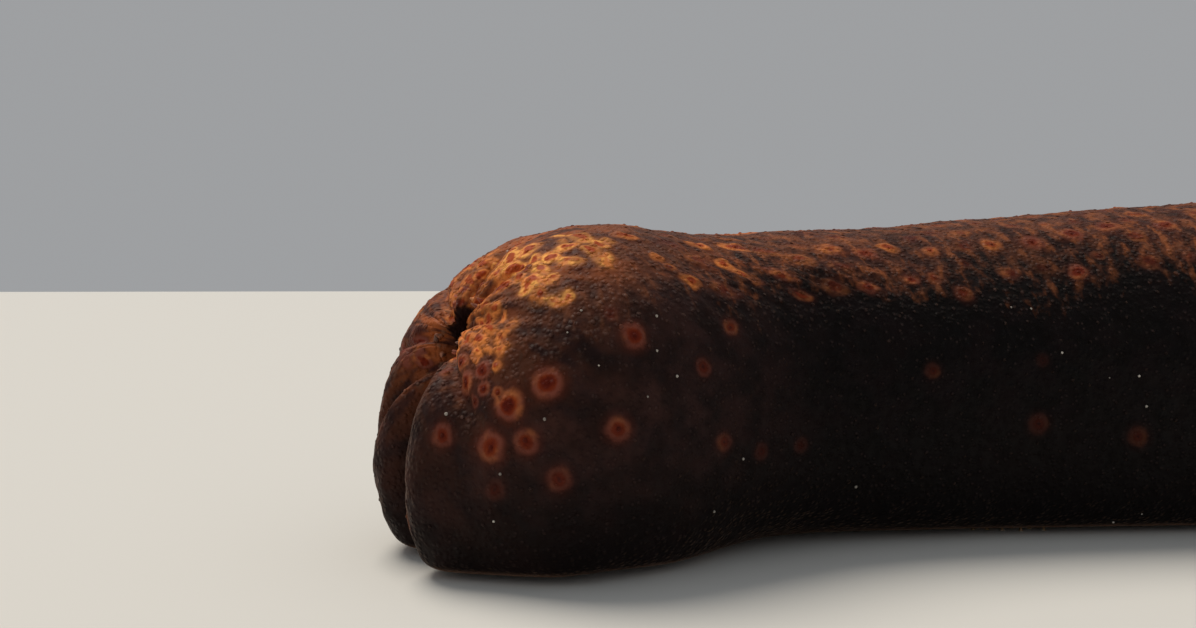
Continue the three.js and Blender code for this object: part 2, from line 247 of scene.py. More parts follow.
def anus_shape(from_pole, turn, r):
    """How far the rear end stands out from its plain form: two cheeks, a funnel, folds and puckers."""
    offset = turn_between(turn, CLEFT_TURN)
    across = r * np.sin(from_pole) * offset
    top, full, fade, bottom = (math.radians(CHEEK_SPAN[k]) for k in ("top", "full", "fade", "bottom"))
    span = ramp(from_pole, top, full) * (1 - ramp(from_pole, fade, bottom))
    cheeks = sum(rise * bell((across - at) / width) for at, rise, width in CHEEKS)
    funnel = ANUS_FUNNEL["depth"] * bell(from_pole / ANUS_FUNNEL["spread"])
    return (
        (np.cos(offset) > 0) * span * cheeks
        - funnel
        - fold_pull(ANUS_FOLDS, from_pole, turn, r)
        - fine_puckers(from_pole, turn, PUCKERS["anus"])
    )


def mouth_shape(from_pole, turn, r):
    """How far the front end stands out from its plain form: a collar, a funnel, folds and puckers."""
    away = r * np.sin(from_pole)
    return (
        COLLAR["rise"] * bell((away - COLLAR["radius"]) / COLLAR["half_width"])
        - MOUTH_FUNNEL["depth"] * bell(from_pole / MOUTH_FUNNEL["spread"])
        - fold_pull(MOUTH_FOLDS, from_pole, turn, r)
        - fine_puckers(from_pole, turn, PUCKERS["mouth"])
    )


def make_end(t, sign, length, aim, rim, shape, passage, angles):
    """One rounded end, from the trunk's section over to the rim and down the passage."""
    s = stations(t)
    centre, side = s.centre[0], s.side[0]
    out = s.forward[0] * sign
    tilt, aside = aim["tilt"], aim["aside"]
    pole = math.cos(tilt) * (math.cos(aside) * out + math.sin(aside) * side) + math.sin(tilt) * UP
    pole_up = unit(UP - math.sin(tilt) * pole)
    pole_side = sign * np.cross(pole_up, pole)

    # Each column runs from the trunk straight to the rim, over the surface.
    start = np.outer(np.sin(angles), side) + np.outer(np.cos(angles), UP)
    whole = np.arccos(start @ pole)
    tangent = unit(start - np.outer(start @ pole, pole))
    turn = np.arctan2(tangent @ pole_side, tangent @ pole_up)
    rim_reach = 1 / np.hypot(np.cos(turn) / rim["up"], np.sin(turn) / rim["side"])
    pole_reach = reach_of(s, math.cos(tilt), 0, math.sin(tilt), length)
    at_rim = np.arcsin(rim_reach / pole_reach)

    share = np.linspace(0, 1, END_ROWS + 1)[1:, None]
    from_pole = whole + share * (at_rim - whole)
    way = np.cos(from_pole)[..., None] * pole + np.sin(from_pole)[..., None] * tangent
    r = reach_of(s, way @ out, way @ side, way @ UP, length)
    cap = roll_under(centre + way * (r + shape(from_pole, turn, r))[..., None])

    # From the lip the rows go down the passage, level by level.
    lip = cap[-1]
    heights = (lip - centre) @ pole
    level = heights.mean()
    steps = along(passage, np.linspace(0, 1, PASSAGE_ROWS + 1)[1:])
    narrow, deep = steps[:, :1], steps[:, 1:]
    height = heights + smooth(deep / EVEN_DEPTH) * (level - heights) - deep
    from_axis = lip - centre - np.outer(heights, pole)
    inside = centre + narrow[..., None] * from_axis + height[..., None] * pole
    return SimpleNamespace(
        rows=np.concatenate([cap, inside]),
        heart=centre,
        pole=pole,
        pole_up=pole_up,
        pole_side=pole_side,
        rim_centre=centre + level * pole,
    )


def trunk_rows(angles):
    s = stations(np.linspace(0, 1, TRUNK_ROWS + 1))
    sections = SimpleNamespace(
        half_width=s.half_width[:, None], above=s.above[:, None], below=s.below[:, None]
    )
    across, up = np.sin(angles)[None, :], np.cos(angles)[None, :]
    r = reach_of(sections, 0, across, up, 1)
    points = s.centre[:, None] + (r * across)[..., None] * s.side[:, None] + (r * up)[..., None] * UP
    return roll_under(points)


def soften_joins(grid, joins):
    """Evens the surface along the body where an end meets the trunk."""
    half_span = JOIN["half_span"]
    kernel = bell(np.linspace(-2, 2, 2 * half_span + 1))
    kernel /= kernel.sum()
    for join in joins:
        low, high = join - 2 * half_span, join + 2 * half_span + 1
        stretch = grid[low:high].copy()
        evened = stretch.copy()
        for k in range(half_span, len(stretch) - half_span):
            evened[k] = np.tensordot(kernel, stretch[k - half_span : k + half_span + 1], axes=1)
        away = np.abs(np.arange(low, high) - join) / half_span
        weight = JOIN["strength"] * smooth(JOIN["steepness"] * (1 - away))
        grid[low:high] += weight[:, None, None] * (evened - stretch)
    return grid


def ways_of(grid):
    """The way round the body and the way along it, at each point of a grid of rows and columns."""
    round_body = np.roll(grid, -1, axis=1) - np.roll(grid, 1, axis=1)
    return round_body, np.gradient(grid, axis=0)


def normals_of(grid):
    """Outward normals of a grid whose rows run along the body and columns round it."""
    return unit(np.cross(*ways_of(grid)))


spread = np.arange(COLUMNS) / COLUMNS * 2 * np.pi
column_angles = -(spread + COLUMN_BIAS * np.sin(spread))
rear = make_end(0, -1, REAR_LENGTH, ANUS_AIM, ANUS_RIM, anus_shape, ANUS_PASSAGE, column_angles)
front = make_end(1, 1, FRONT_LENGTH, MOUTH_AIM, MOUTH_RIM, mouth_shape, MOUTH_PASSAGE, column_angles)
end_rows = END_ROWS + PASSAGE_ROWS
grid = np.concatenate([rear.rows[::-1], trunk_rows(column_angles), front.rows])
grid = soften_joins(grid, [end_rows, end_rows + TRUNK_ROWS])

# How far each point lies along the body and round it from the top, for grain that follows it.
# The count round the body jumps under the sole.
row_gaps = np.linalg.norm(np.diff(grid, axis=0), axis=-1).mean(axis=1)
row_place = np.concatenate([[0], np.cumsum(row_gaps)])
column_gaps = np.linalg.norm(np.roll(grid, -1, axis=1) - grid, axis=-1)
column_place = np.cumsum(column_gaps, axis=1) - column_gaps
column_place[:, COLUMNS // 2 :] -= column_gaps.sum(axis=1, keepdims=True)
lie = np.stack([column_place, np.broadcast_to(row_place[:, None], column_place.shape)], axis=-1)

# The camera, as the picture was taken: low, close to the left side, the rear end nearest

PICTURE = {"width": 1196, "height": 628, "focal": 1100}  # in its pixels
SENSOR_WIDTH = 36
CAMERA_AT = np.array([-167.95, -273.55, 63.2])
CAMERA_YAW = math.radians(9.4)
CAMERA_PITCH = math.radians(-1.77)

camera_ahead = np.array([
    math.sin(CAMERA_YAW) * math.cos(CAMERA_PITCH),
    math.cos(CAMERA_YAW) * math.cos(CAMERA_PITCH),
    math.sin(CAMERA_PITCH),
])
camera_right = np.array([math.cos(CAMERA_YAW), -math.sin(CAMERA_YAW), 0])
camera_up = np.cross(camera_right, camera_ahead)


def to_picture(points):
    """Where points fall in the picture, in its pixels, and how far away they are."""
    away = points - CAMERA_AT
    depth = away @ camera_ahead
    x = PICTURE["width"] / 2 + PICTURE["focal"] * (away @ camera_right) / depth
    y = PICTURE["height"] / 2 - PICTURE["focal"] * (away @ camera_up) / depth
    return x, y, depth


# Ringed spots

# Spots that the picture shows: x, y and width in its pixels, how clear, and how orange (0 is brick red).
# Spots on the flank away from the rear are made fainter as painted shade.
SPOTS_SHOWN = [
    (545, 381, 34, 1.0, 0.30),
    (509, 402, 34, 1.0, 0.35),
    (488, 449, 34, 0.9, 0.15),
    (524, 440, 29, 0.65, 0.15),
    (558, 479, 29, 0.35, 0.15),
    (622, 430, 29, 0.6, 0.15),
    (636, 332, 31, 0.85, 0.20),
    (440, 434, 26, 0.7, 0.10),
    (463, 383, 25, 1.0, 0.25),
    (482, 367, 20, 1.0, 0.35),
    (450, 371, 16, 0.7, 0.25),
    (484, 387, 17, 0.8, 0.20),
    (497, 391, 16, 0.7, 0.25),
    (472, 403, 15, 0.5, 0.10),
    (459, 362, 20, 1.0, 0.50),
    (492, 490, 24, 0.18, 0.0),
    (614, 310, 20, 0.35, 0.05),
    (732, 326, 20, 0.4, 0.20),
    (707, 366, 20, 0.32, 0.20),
    (726, 444, 22, 0.22, 0.10),
    (763, 453, 18, 0.12, 0.0),
    (803, 445, 18, 0.1, 0.0),
    (934, 369, 18, 0.14, 0.15),
    (1042, 426, 23, 0.17, 0.15),
    (1139, 437, 24, 0.14, 0.15),
    (1080, 270, 21, 0.75, 0.35),
    (912, 276, 18, 0.7, 0.25),
    (937, 276, 18, 0.4, 0.25),
    (965, 292, 20, 0.35, 0.25),
    (1011, 270, 20, 0.3, 0.20),
    (992, 240, 24, 0.6, 0.45),
    (1032, 238, 24, 0.75, 0.0),
    (1072, 231, 24, 0.7, 0.35),
    (1105, 224, 24, 0.7, 0.35),
    (1166, 224, 22, 0.7, 0.3),
    (931, 246, 20, 0.8, 0.35),
    (888, 244, 22, 0.8, 0.5),
    (1044, 358, 16, 0.06, 0.1),
    (626, 234, 24, 0.9, 0.6),
    (659, 256, 17, 0.6, 0.45),
    (673, 267, 15, 0.4, 0.4),
    (692, 278, 21, 0.65, 0.6),
    (700, 244, 24, 0.9, 0.6),
    (736, 244, 24, 0.8, 0.6),
    (726, 262, 18, 0.8, 0.65),
    (741, 273, 18, 0.75, 0.6),
    (757, 279, 15, 0.6, 0.4),
    (779, 272, 20, 0.55, 0.2),
    (802, 290, 18, 0.5, 0.2),
    (826, 246, 26, 0.8, 0.4),
    (866, 250, 22, 0.7, 0.3),
    (870, 284, 22, 0.6, 0.2),
]
# Patches where rings run together into an orange net: middle and half size in pixels, how orange,
# and the rings' middle radius in mm.
NETS_SHOWN = [
    (483, 339, 28, 36, 0.65, 1.8),
    (417, 352, 15, 13, -0.25, 1.9),
    (580, 250, 30, 13, 1.4, 2.3),
    (530, 268, 28, 18, 1.1, 2.5),
    (486, 274, 32, 18, 0.6, 2.2),
    (543, 290, 18, 10, 0.95, 2.5),
]
NET_RING = 1.9  # the middle radius where the net goes on out of view
NET_SPACING = 1.75  # for each mm of a net's middle radius
# Pale tips that the picture shows on the flank: x and y in its pixels.
PALE_TIPS_SHOWN = [
    (545, 418), (652, 396), (745, 458), (499, 475), (492, 521), (444, 416), (660, 315), (660, 348),
    (682, 376), (714, 511), (857, 489), (1150, 408), (1143, 516), (1114, 525), (1012, 306), (1032, 308),
    (1062, 352), (1113, 379), (1143, 375), (600, 362), (568, 330), (580, 306),
]

# A slope says how far the skin faces up: 1 is straight up, 0 sideways, -1 down.
SPOTS_LOWEST = 12  # mm above the floor
BACK_SLOPE = 0.5
BAND_SLOPE = 0.62  # the upper band of the back, where weak spots stand too
BAND_START = 20  # mm in front of the spine's rear end
NETS_END = 60  # likewise; the nets are all nearer to the anus
JUST_FACING = 0.02  # skin turned to the camera less than this counts as hidden
PAST_EDGE = 30  # the picture counts as this many pixels wider than it is
PIXEL_SLACK = 3  # a smaller miss counts as this many pixels
MISS_COST = 20  # each pixel of a miss weighs as much as this many mm of distance

BEND_AT = -85  # the body is pushed together here, and wrinkles more
BEND_HALF = {"spots": 34, "wrinkles": 30}  # how far along the body that is felt
BEND_SLOPES = (0.35, 0.6)  # between these slopes its pull on the spots sets in
BEND_SHRINK = 0.25  # how much narrower a spot is there
BEND_STRETCH = 0.5  # and how much it is drawn out along the strands
STRAND_SLANT = math.radians(24)  # from along the body

RING_WIDEST = 8.8  # no spot that the picture shows is made wider
HIDDEN_RADII = (2.6, 4.0)
WEAK_RADII = (1.8, 3.0)
BACK_SPACING = 11.5
FLANK_SPACING = 19.0
WEAK_SPACING = 7.5
NET_RADII = (0.8, 1.25)  # for each mm of the net's middle radius
NET_REACH = {"out": 24, "down": -2}  # of the hidden net, from the middle of the anus
SPOTS_CLEAR = {"anus": 26, "mouth": 26, "down": -12}  # other hidden spots keep this far off
RAGGED_SLOPES = (0.4, 0.75)  # between these slopes the spots turn ragged
RAGGED_SHARE = {"back": 0.4, "bend": 0.35}
RAGGED_PULL = {"round": 0.25, "ragged": 1.5, "lump": 4.0}
SPOT_FAR = 3.0  # beyond this many radii there is no spot

points = grid.reshape(-1, 3)
normals = normals_of(grid).reshape(-1, 3)
slope = normals[:, 2]
lie_points = lie.reshape(-1, 2)
picture_x, picture_y, picture_depth = to_picture(points)
facing = np.einsum("ij,ij->i", normals, unit(CAMERA_AT - points))
seen = (facing > JUST_FACING) & (picture_x > 0) & (picture_x < PICTURE["width"] + PAST_EDGE)
row_of = np.arange(len(points)) // COLUMNS
rows_outside = np.minimum(row_of, len(grid) - row_of) - PASSAGE_ROWS  # counted from the nearer rim
on_outside = rows_outside > 0
above_sole = (points[:, 2] > SPOTS_LOWEST) & on_outside
from_rim = points - rear.rim_centre
anus_distance = np.linalg.norm(from_rim, axis=1)
over_rim = from_rim @ rear.pole_up
mouth_distance = np.linalg.norm(points - front.rim_centre, axis=1)

# The way the strands of the bend run over the skin
round_body, along_body = (unit(way).reshape(-1, 3) for way in ways_of(grid))
strand_ways = unit(math.sin(STRAND_SLANT) * round_body + math.cos(STRAND_SLANT) * along_body)


def under_pixels(pixels):
    """The points of the skin that show at these pixels of the picture."""
    found = []
    for x, y in pixels:
        miss = np.maximum(np.hypot(picture_x - x, picture_y - y), PIXEL_SLACK)
        cost = np.where(facing > 0, miss * MISS_COST + picture_depth, np.inf)
        found.append(int(np.argmin(cost)))
    return found


def scatter(chosen, spacing, seed, taken=(), tries=6000):
    """Random points of the skin, none nearer than the spacing to another or to one already taken."""
    rng = np.random.default_rng(seed)
    count = len(taken)
    placed = np.empty((count + tries, 3))
    placed[:count] = points[list(taken)]
    kept = []
    for i in rng.choice(np.flatnonzero(chosen), tries):
        gaps = placed[:count] - points[i]
        if count and np.einsum("ij,ij->i", gaps, gaps).min() < spacing**2:
            continue
        placed[count] = points[i]
        count += 1
        kept.append(int(i))
    return kept


def bend_share(i):
    """How much the pushed-together bend of the back pulls on this point of the skin."""
    return bell((points[i, 0] - BEND_AT) / BEND_HALF["spots"]) * ramp(slope[i], *BEND_SLOPES)


def ragged_share(i):
    """How ragged a single spot is: round on the flank, drawn out of shape on the back."""
    on_back = ramp(slope[i], *RAGGED_SLOPES)
    return RAGGED_SHARE["back"] * on_back + RAGGED_SHARE["bend"] * bend_share(i)


Spot = namedtuple("Spot", "at radius clear warm ragged")
spots = []
spot_rng = np.random.default_rng(5)


def add_spots(chosen, spacing, seed, tries, radii, clear, warm, in_net=False):
    """Scatters spots among those already there, each random within the ranges given."""
    for at in scatter(chosen, spacing, seed, [spot.at for spot in spots], tries):
        ragged = 1.0 if in_net else ragged_share(at)
        radius, clearness, warmth = (spot_rng.uniform(*limits) for limits in (radii, clear, warm))
        spots.append(Spot(at, radius, clearness, warmth, ragged))


def add_net(chosen, ring, seed, tries, clear, warm):
    """Rings that stand so close that they run together."""
    radii = [share * ring for share in NET_RADII]
    add_spots(chosen, NET_SPACING * ring, seed, tries, radii, clear, warm, in_net=True)


shown_at = under_pixels([(x, y) for x, y, *_ in SPOTS_SHOWN])
for at, (_, _, width, clear, warm) in zip(shown_at, SPOTS_SHOWN):
    size = min(width * picture_depth[at] / PICTURE["focal"], RING_WIDEST)
    size *= 1 - BEND_SHRINK * bend_share(at)
    spots.append(Spot(at, size / 2, clear, warm, ragged_share(at)))

near_part = points[:, 0] < SPINE[0, 0] + NETS_END
for x, y, half_x, half_y, warm, ring in NETS_SHOWN:
    patch = np.hypot((picture_x - x) / half_x, (picture_y - y) / half_y) < 1
    chosen = patch & seen & near_part & on_outside
    add_net(chosen, ring, seed=21 + x, tries=900, clear=(0.75, 1), warm=(warm - 0.3, warm + 0.15))

# Where the picture doesn't reach, the same kinds of spot go on over the skin.
round_anus = above_sole & (anus_distance < NET_REACH["out"]) & ~seen & (over_rim > NET_REACH["down"])
add_net(round_anus, NET_RING, seed=31, tries=2500, clear=(0.6, 1), warm=(0.1, 0.6))
off_anus = (anus_distance > SPOTS_CLEAR["anus"]) | (over_rim < SPOTS_CLEAR["down"])
hidden = above_sole & ~seen & (mouth_distance > SPOTS_CLEAR["mouth"]) & off_anus
on_back = slope > BACK_SLOPE
near_side = normals[:, 1] < 0
upper_band = (slope > BAND_SLOPE) & (points[:, 0] > SPINE[0, 0] + BAND_START)
# Each row: where, spacing, seed, tries, radii, how clear, how orange. Small weak spots stand between
# the clear ones all along the back.
for row in (
    (hidden & on_back, BACK_SPACING, 32, 6000, HIDDEN_RADII, (0.4, 0.9), (0.1, 0.55)),
    # The near flank's spots are faint as painted shade, carrying on from the faint spots shown there.
    (hidden & ~on_back & near_side, FLANK_SPACING, 33, 6000, HIDDEN_RADII, (0.06, 0.3), (0, 0.3)),
    (hidden & ~on_back & ~near_side, FLANK_SPACING, 36, 6000, HIDDEN_RADII, (0.15, 0.8), (0, 0.3)),
    (above_sole & seen & upper_band, WEAK_SPACING, 34, 4000, WEAK_RADII, (0.1, 0.4), (0.1, 0.6)),
    (hidden & upper_band, WEAK_SPACING, 35, 4000, WEAK_RADII, (0.1, 0.4), (0.1, 0.6)),
):
    add_spots(*row)

# For each point of the skin: how many radii the nearest spot's middle is away, and how that spot looks
spot_reach = np.full(len(points), SPOT_FAR)
spot_clear, spot_warm, spot_net = np.zeros((3, len(points)))
lumps = [rough(points, RAGGED_PULL["lump"], seed, octaves=2) for seed in (51, 52, 53)]
lumps = np.stack(lumps, axis=-1)
for spot in spots:
    way = strand_ways[spot.at]
    pull = RAGGED_PULL["round"] + RAGGED_PULL["ragged"] * spot.ragged
    away = points + pull * lumps - points[spot.at]
    drawn_out = away @ way * (BEND_STRETCH * bend_share(spot.at))
    reach = np.linalg.norm(away - np.outer(drawn_out, way), axis=1) / spot.radius
    nearer = reach < spot_reach
    spot_reach[nearer] = reach[nearer]
    spot_clear[nearer] = spot.clear
    spot_warm[nearer] = spot.warm
    spot_net[nearer] = spot.ragged

# Streaks that run in to the anus
STREAKS = {"round": 9, "outward": 7}
rim_turn = np.arctan2(from_rim @ rear.pole_side, over_rim)
streak_space = np.column_stack([
    STREAKS["round"] * np.cos(rim_turn),
    STREAKS["round"] * np.sin(rim_turn),
    anus_distance / STREAKS["outward"],
])
radial_streaks = 0.5 + 0.5 * rough(streak_space, size=1.0, seed=55)

# Relief: slow swells, wrinkles across the body, grain, and the low domes of the spots

SWELL = {"size": 24, "height": 0.7}
WRINKLE = {"across": 8.0, "along": 3.4, "height": 0.30, "wander": (0.35, 0.9, 0.25)}
EVEN_WRINKLES = 0.45  # the share of their height that is the same everywhere
UNEVEN_SIZE = 34  # how large the places are where they are taller or lower
STRAND = {"across": 2.6, "along": 12, "height": 0.4, "wander": (0.6, 0, 0.2)}
STRAND_SLOPES = {"middle": 0.72, "half": 0.17}
GRAIN = {"size": 2.4, "height": 0.20}
DOME = {"height": 0.45, "width": 0.9, "dimple": 0.5, "dimple_width": 0.3}  # widths in a spot's radii
WANDER_SIZE = 15
RIM_ROWS = 10  # the relief sets in over this many rows outside a rim
LOW_RELIEF = {"from": 2, "to": 8, "share": 0.15}  # and is weaker near the floor
RELIEF_SINK = 0.25  # keeps the crests about level with the solids

wander = rough(points, WANDER_SIZE, seed=41, octaves=2)


def ridges(across, lengthwise, kind, seed):
    """Long ridges over the skin, 1 on their crests and -1 in the valleys, bent by the slow wander."""
    straight = np.column_stack([across / kind["across"], lengthwise / kind["along"], np.zeros(len(points))])
    return 1 - 2 * np.abs(lattice(straight + np.outer(wander, kind["wander"]), seed))


lie_round, lie_along = lie_points.T
slant, lean = math.cos(STRAND_SLANT), math.sin(STRAND_SLANT)
taller = rough(points, UNEVEN_SIZE, seed=43, octaves=2)
wrinkles = ridges(lie_round, lie_along, WRINKLE, seed=42) * (EVEN_WRINKLES + (1 - EVEN_WRINKLES) * taller)
lie_across, lie_with = lie_round * slant - lie_along * lean, lie_round * lean + lie_along * slant
strands = ridges(lie_across, lie_with, STRAND, seed=46)
strand_place = bell((slope - STRAND_SLOPES["middle"]) / STRAND_SLOPES["half"])
bend_wrinkles = bell((points[:, 0] - BEND_AT) / BEND_HALF["wrinkles"]) * strand_place
dimple = DOME["dimple"] * bell(spot_reach / DOME["dimple_width"])
outside = smooth(rows_outside / RIM_ROWS)
off_floor = ramp(points[:, 2], LOW_RELIEF["from"], LOW_RELIEF["to"])
relief = (
    SWELL["height"] * rough(points, SWELL["size"], seed=44, octaves=2)
    + WRINKLE["height"] * wrinkles * (1 - bend_wrinkles)
    + STRAND["height"] * strands * bend_wrinkles
    + GRAIN["height"] * rough(points, GRAIN["size"], seed=45, octaves=2)
    + DOME["height"] * spot_clear * (bell(spot_reach / DOME["width"]) - dimple)
)
relief = relief * outside * (LOW_RELIEF["share"] + (1 - LOW_RELIEF["share"]) * off_floor)
skin_points = points + normals * (relief - RELIEF_SINK)[:, None]
skin_normals = normals_of(skin_points.reshape(grid.shape)).reshape(-1, 3)

# How deep in a fold each point lies: the form against itself evened out round the body. It sets the painted
# shade in the folds.
EVENED_COLUMNS = range(-48, 49, 4)
DEEPEST_FOLD = 5
fold_depth = np.zeros(grid.shape[:2])
for end, base in ((rear, slice(0, end_rows)), (front, slice(len(grid) - end_rows, None))):
    level = np.linalg.norm(grid[base] - end.heart, axis=-1)
    evened = sum(np.roll(level, k, axis=1) for k in EVENED_COLUMNS) / len(EVENED_COLUMNS)
    fold_depth[base] = evened - level
fold_depth = np.clip(fold_depth.reshape(-1), 0, DEEPEST_FOLD) * outside

# Rusty skin: round the anus, less so below it, and on over the top of the rear end
RUSTY = {"half": 25, "below": 0.4, "fades_from": -20}
RUSTY_TOP = {"at": -139, "half": 17, "strength": 0.9, "slopes": (0.6, 0.85)}
below = RUSTY["below"] + (1 - RUSTY["below"]) * ramp(over_rim, RUSTY["fades_from"], 0)
round_rusty = bell(anus_distance / RUSTY["half"]) * below
top_rusty = bell((points[:, 0] - RUSTY_TOP["at"]) / RUSTY_TOP["half"]) * ramp(slope, *RUSTY_TOP["slopes"])

# Where other paint takes over: rows near the rim (painted shade inside the anus), mm from the mouth, mm along
# the body (the flank's painted shade eases towards the rear), mm up
IN_ANUS_ROWS = (PASSAGE_ROWS - 4, PASSAGE_ROWS + 5)
MOUTH_HALF = 27
REAR_SPAN = (-132, -68)
UNDERSIDE_HEIGHTS = (1.2, 2.8)

skin_values = {
    "spot_reach": spot_reach,
    "spot_clear": spot_clear,
    "spot_warm": spot_warm,
    "spot_net": spot_net,
    "radial_streaks": radial_streaks,
    "in_anus": 1 - ramp(row_of, *IN_ANUS_ROWS),
    "upness": slope,
    "relief": relief,
    "fold_depth": fold_depth,
    "rusty": np.maximum(round_rusty, RUSTY_TOP["strength"] * top_rusty),
    "mouth_near": bell(mouth_distance / MOUTH_HALF),
    "rear_share": 1 - ramp(points[:, 0], *REAR_SPAN),
    "wrinkled": bend_wrinkles,
    "underside": (1 - ramp(points[:, 2], *UNDERSIDE_HEIGHTS)) * on_outside,
    "lie": np.column_stack([lie_points * MM, np.zeros(len(points))]),
}

# Meshes

# Shares of the map's width: its free edge, the inset of a grid, and half of a small growth's patch
MAP_EDGE = 0.001
MAP_INSET = 0.002
PATCH_HALF = 0.0015


def mesh_piece(name, vertices, faces, uvs=None, values=None, smooth_shaded=True):
    """A new mesh object. Vertices are in mm, uvs one pair per face corner, values one list per point."""
    mesh = bpy.data.meshes.new(name)
    mesh.from_pydata(np.asarray(vertices) * MM, [], faces)
    if uvs is not None:
        layer = mesh.uv_layers.new(name="OFBake")
        layer.uv.foreach_set("vector", np.asarray(uvs, np.float32).ravel())
    for key, value in (values or {}).items():
        is_vector = np.ndim(value) > 1
        attribute = mesh.attributes.new(key, "FLOAT_VECTOR" if is_vector else "FLOAT", "POINT")
        attribute.data.foreach_set("vector" if is_vector else "value", np.asarray(value, np.float32).ravel())
    if smooth_shaded:
        mesh.shade_smooth()
    piece = bpy.data.objects.new(name, mesh)
    bpy.context.scene.collection.objects.link(piece)
    return piece


def grid_faces(rows, columns):
    """Quads of a grid that closes on itself round its columns, wound to face out."""
    i, j = np.meshgrid(np.arange(rows - 1), np.arange(columns), indexing="ij")
    k = (j + 1) % columns
    quads = [i * columns + j, i * columns + k, (i + 1) * columns + k, (i + 1) * columns + j]
    return np.stack(quads, axis=-1).reshape(-1, 4)


def grid_uvs(rows, columns):
    """One pair per corner of grid_faces, with the seam where the columns meet."""
    i, j = np.meshgrid(np.arange(rows - 1), np.arange(columns), indexing="ij")
    u = np.stack([j, j + 1, j + 1, j], axis=-1) / columns
    v = np.stack([i, i, i + 1, i + 1], axis=-1) / (rows - 1)
    return MAP_INSET + (1 - 2 * MAP_INSET) * np.stack([u, v], axis=-1).reshape(-1, 2)


def closed_grid(rows, columns):
    """Faces and uvs of a closed tube: its side, and a face over each end."""
    first = list(range(columns))
    last = [(rows - 1) * columns + j for j in first]
    end_uvs = [((j + 0.5) / columns, v) for v in (MAP_EDGE, 1 - MAP_EDGE) for j in first]
    faces = grid_faces(rows, columns).tolist() + [first[::-1], last]
    return faces, np.concatenate([grid_uvs(rows, columns), end_uvs])


rows, columns = grid.shape[:2]
seam_shift = columns // 2  # the seam of the map runs under the sole
skin_faces, skin_uvs = closed_grid(rows, columns)
turned = (np.arange(columns) + seam_shift) % columns


def seam_below(values):
    """Skin values or points with their columns turned so the seam comes under the sole."""
    values = np.asarray(values)
    return values.reshape(rows, columns, *values.shape[1:])[:, turned].reshape(values.shape)


skin = mesh_piece(
    "skin",
    seam_below(skin_points),
    skin_faces,
    skin_uvs,
    {key: seam_below(value) for key, value in skin_values.items()},
)


# Small growths on the skin

# Each profile goes from under the skin to the tip: height and radius as shares of the whole.
CONE = [(-0.3, 1.0), (0.05, 0.92), (0.35, 0.6), (0.7, 0.4), (0.92, 0.22)]
WART = [(-0.4, 1.0), (0.25, 0.86), (0.75, 0.5)]
TUBE_FOOT = [(-0.5, 0.75), (0.0, 0.7), (0.45, 0.55), (0.8, 0.62), (0.93, 1.0), (1.0, 0.96)]
UNEVEN_GIRTH = 0.1
ASKEW = [0.31, 0.17, 0.93]  # no growth stands quite this way, so it can turn them


def plant(name, roots, profile, sides, widths, heights, seed, way=None, lean=0.0, pale=0.0, tip_shade=1.0):
    """Many small growths joined in one mesh, each with the markings of the skin at its root."""
    rng = np.random.default_rng(seed)
    roots = np.asarray(roots)
    n = len(roots)
    axis = skin_normals[roots] if way is None else np.broadcast_to(way, (n, 3))
    axis = unit(axis + lean * rng.normal(size=(n, 3)))
    across = unit(np.cross(axis, ASKEW))
    other = np.cross(axis, across)
    shape = np.array(profile)
    phase = rng.uniform(0, 2 * np.pi, (n, 1, 1))
    angle = phase + np.arange(sides) / sides * 2 * np.pi
    radius = 0.5 * np.reshape(widths, (-1, 1, 1)) * shape[:, 1][None, :, None]
    radius = radius * (1 + UNEVEN_GIRTH * rng.uniform(-1, 1, (n, len(shape), sides)))
    local_x, local_y = radius * np.cos(angle), radius * np.sin(angle)
    height = np.reshape(heights, (-1, 1)) * shape[:, 0]
    ring = (
        skin_points[roots][:, None, None]
        + local_x[..., None] * across[:, None, None]
        + local_y[..., None] * other[:, None, None]
        + height[..., None, None] * axis[:, None, None]
    )
    top = skin_points[roots] + np.reshape(heights, (-1, 1)) * axis
    each = len(shape) * sides + 1
    vertices = np.concatenate([ring.reshape(n, -1, 3), top[:, None]], axis=1)

    side = grid_faces(len(shape), sides)
    k = np.arange(sides)
    base = each - 1 - sides
    tip = np.column_stack([base + k, base + (k + 1) % sides, np.full(sides, each - 1)])
    start = (np.arange(n) * each)[:, None, None]
    quads = (side[None] + start).reshape(-1, 4)
    tips = (tip[None] + start).reshape(-1, 3)
    bottoms = (k[::-1][None, None] + start).reshape(-1, sides)

    # A small patch of the map for each growth, where its root lies on the skin's map
    column = (roots % columns - seam_shift) % columns
    centre = np.column_stack([(column + 0.5) / columns, (roots // columns + 0.5) / rows])
    half = 0.5 * np.reshape(widths, (-1, 1, 1)) * np.ones((n, 1, 1))
    spot = np.stack([local_x / half, local_y / half], axis=-1).reshape(n, -1, 2)
    spot = np.concatenate([spot, np.zeros((n, 1, 2))], axis=1)
    places = np.clip(centre[:, None] + PATCH_HALF * spot, MAP_EDGE, 1 - MAP_EDGE).reshape(-1, 2)
    corner_uvs = np.concatenate([places[f.ravel()] for f in (quads, tips, bottoms)])

    values = {key: np.repeat(value[roots], each, axis=0) for key, value in skin_values.items()}
    share = tip_shade * np.append(np.repeat(np.clip(shape[:, 0], 0, 1), sides), 1)
    values["tip_share"] = np.tile(share, n)
    values["pale"] = np.repeat(np.broadcast_to(pale, n), each)
    faces = quads.tolist() + tips.tolist() + bottoms.tolist()
    return mesh_piece(name, vertices.reshape(-1, 3), faces, corner_uvs, values)


# Materials

# A MapRange's numbers go from its input's two ends to its result's two ends, 0 and 1 when left out.
SOFT_STEP = {"interpolation_type": "SMOOTHSTEP"}
COLOURS = {"data_type": "RGBA"}
OBJECT_PLACE = 3  # which output gives the place on the object
SINGLE_VALUE = 2  # and which gives an attribute's one number

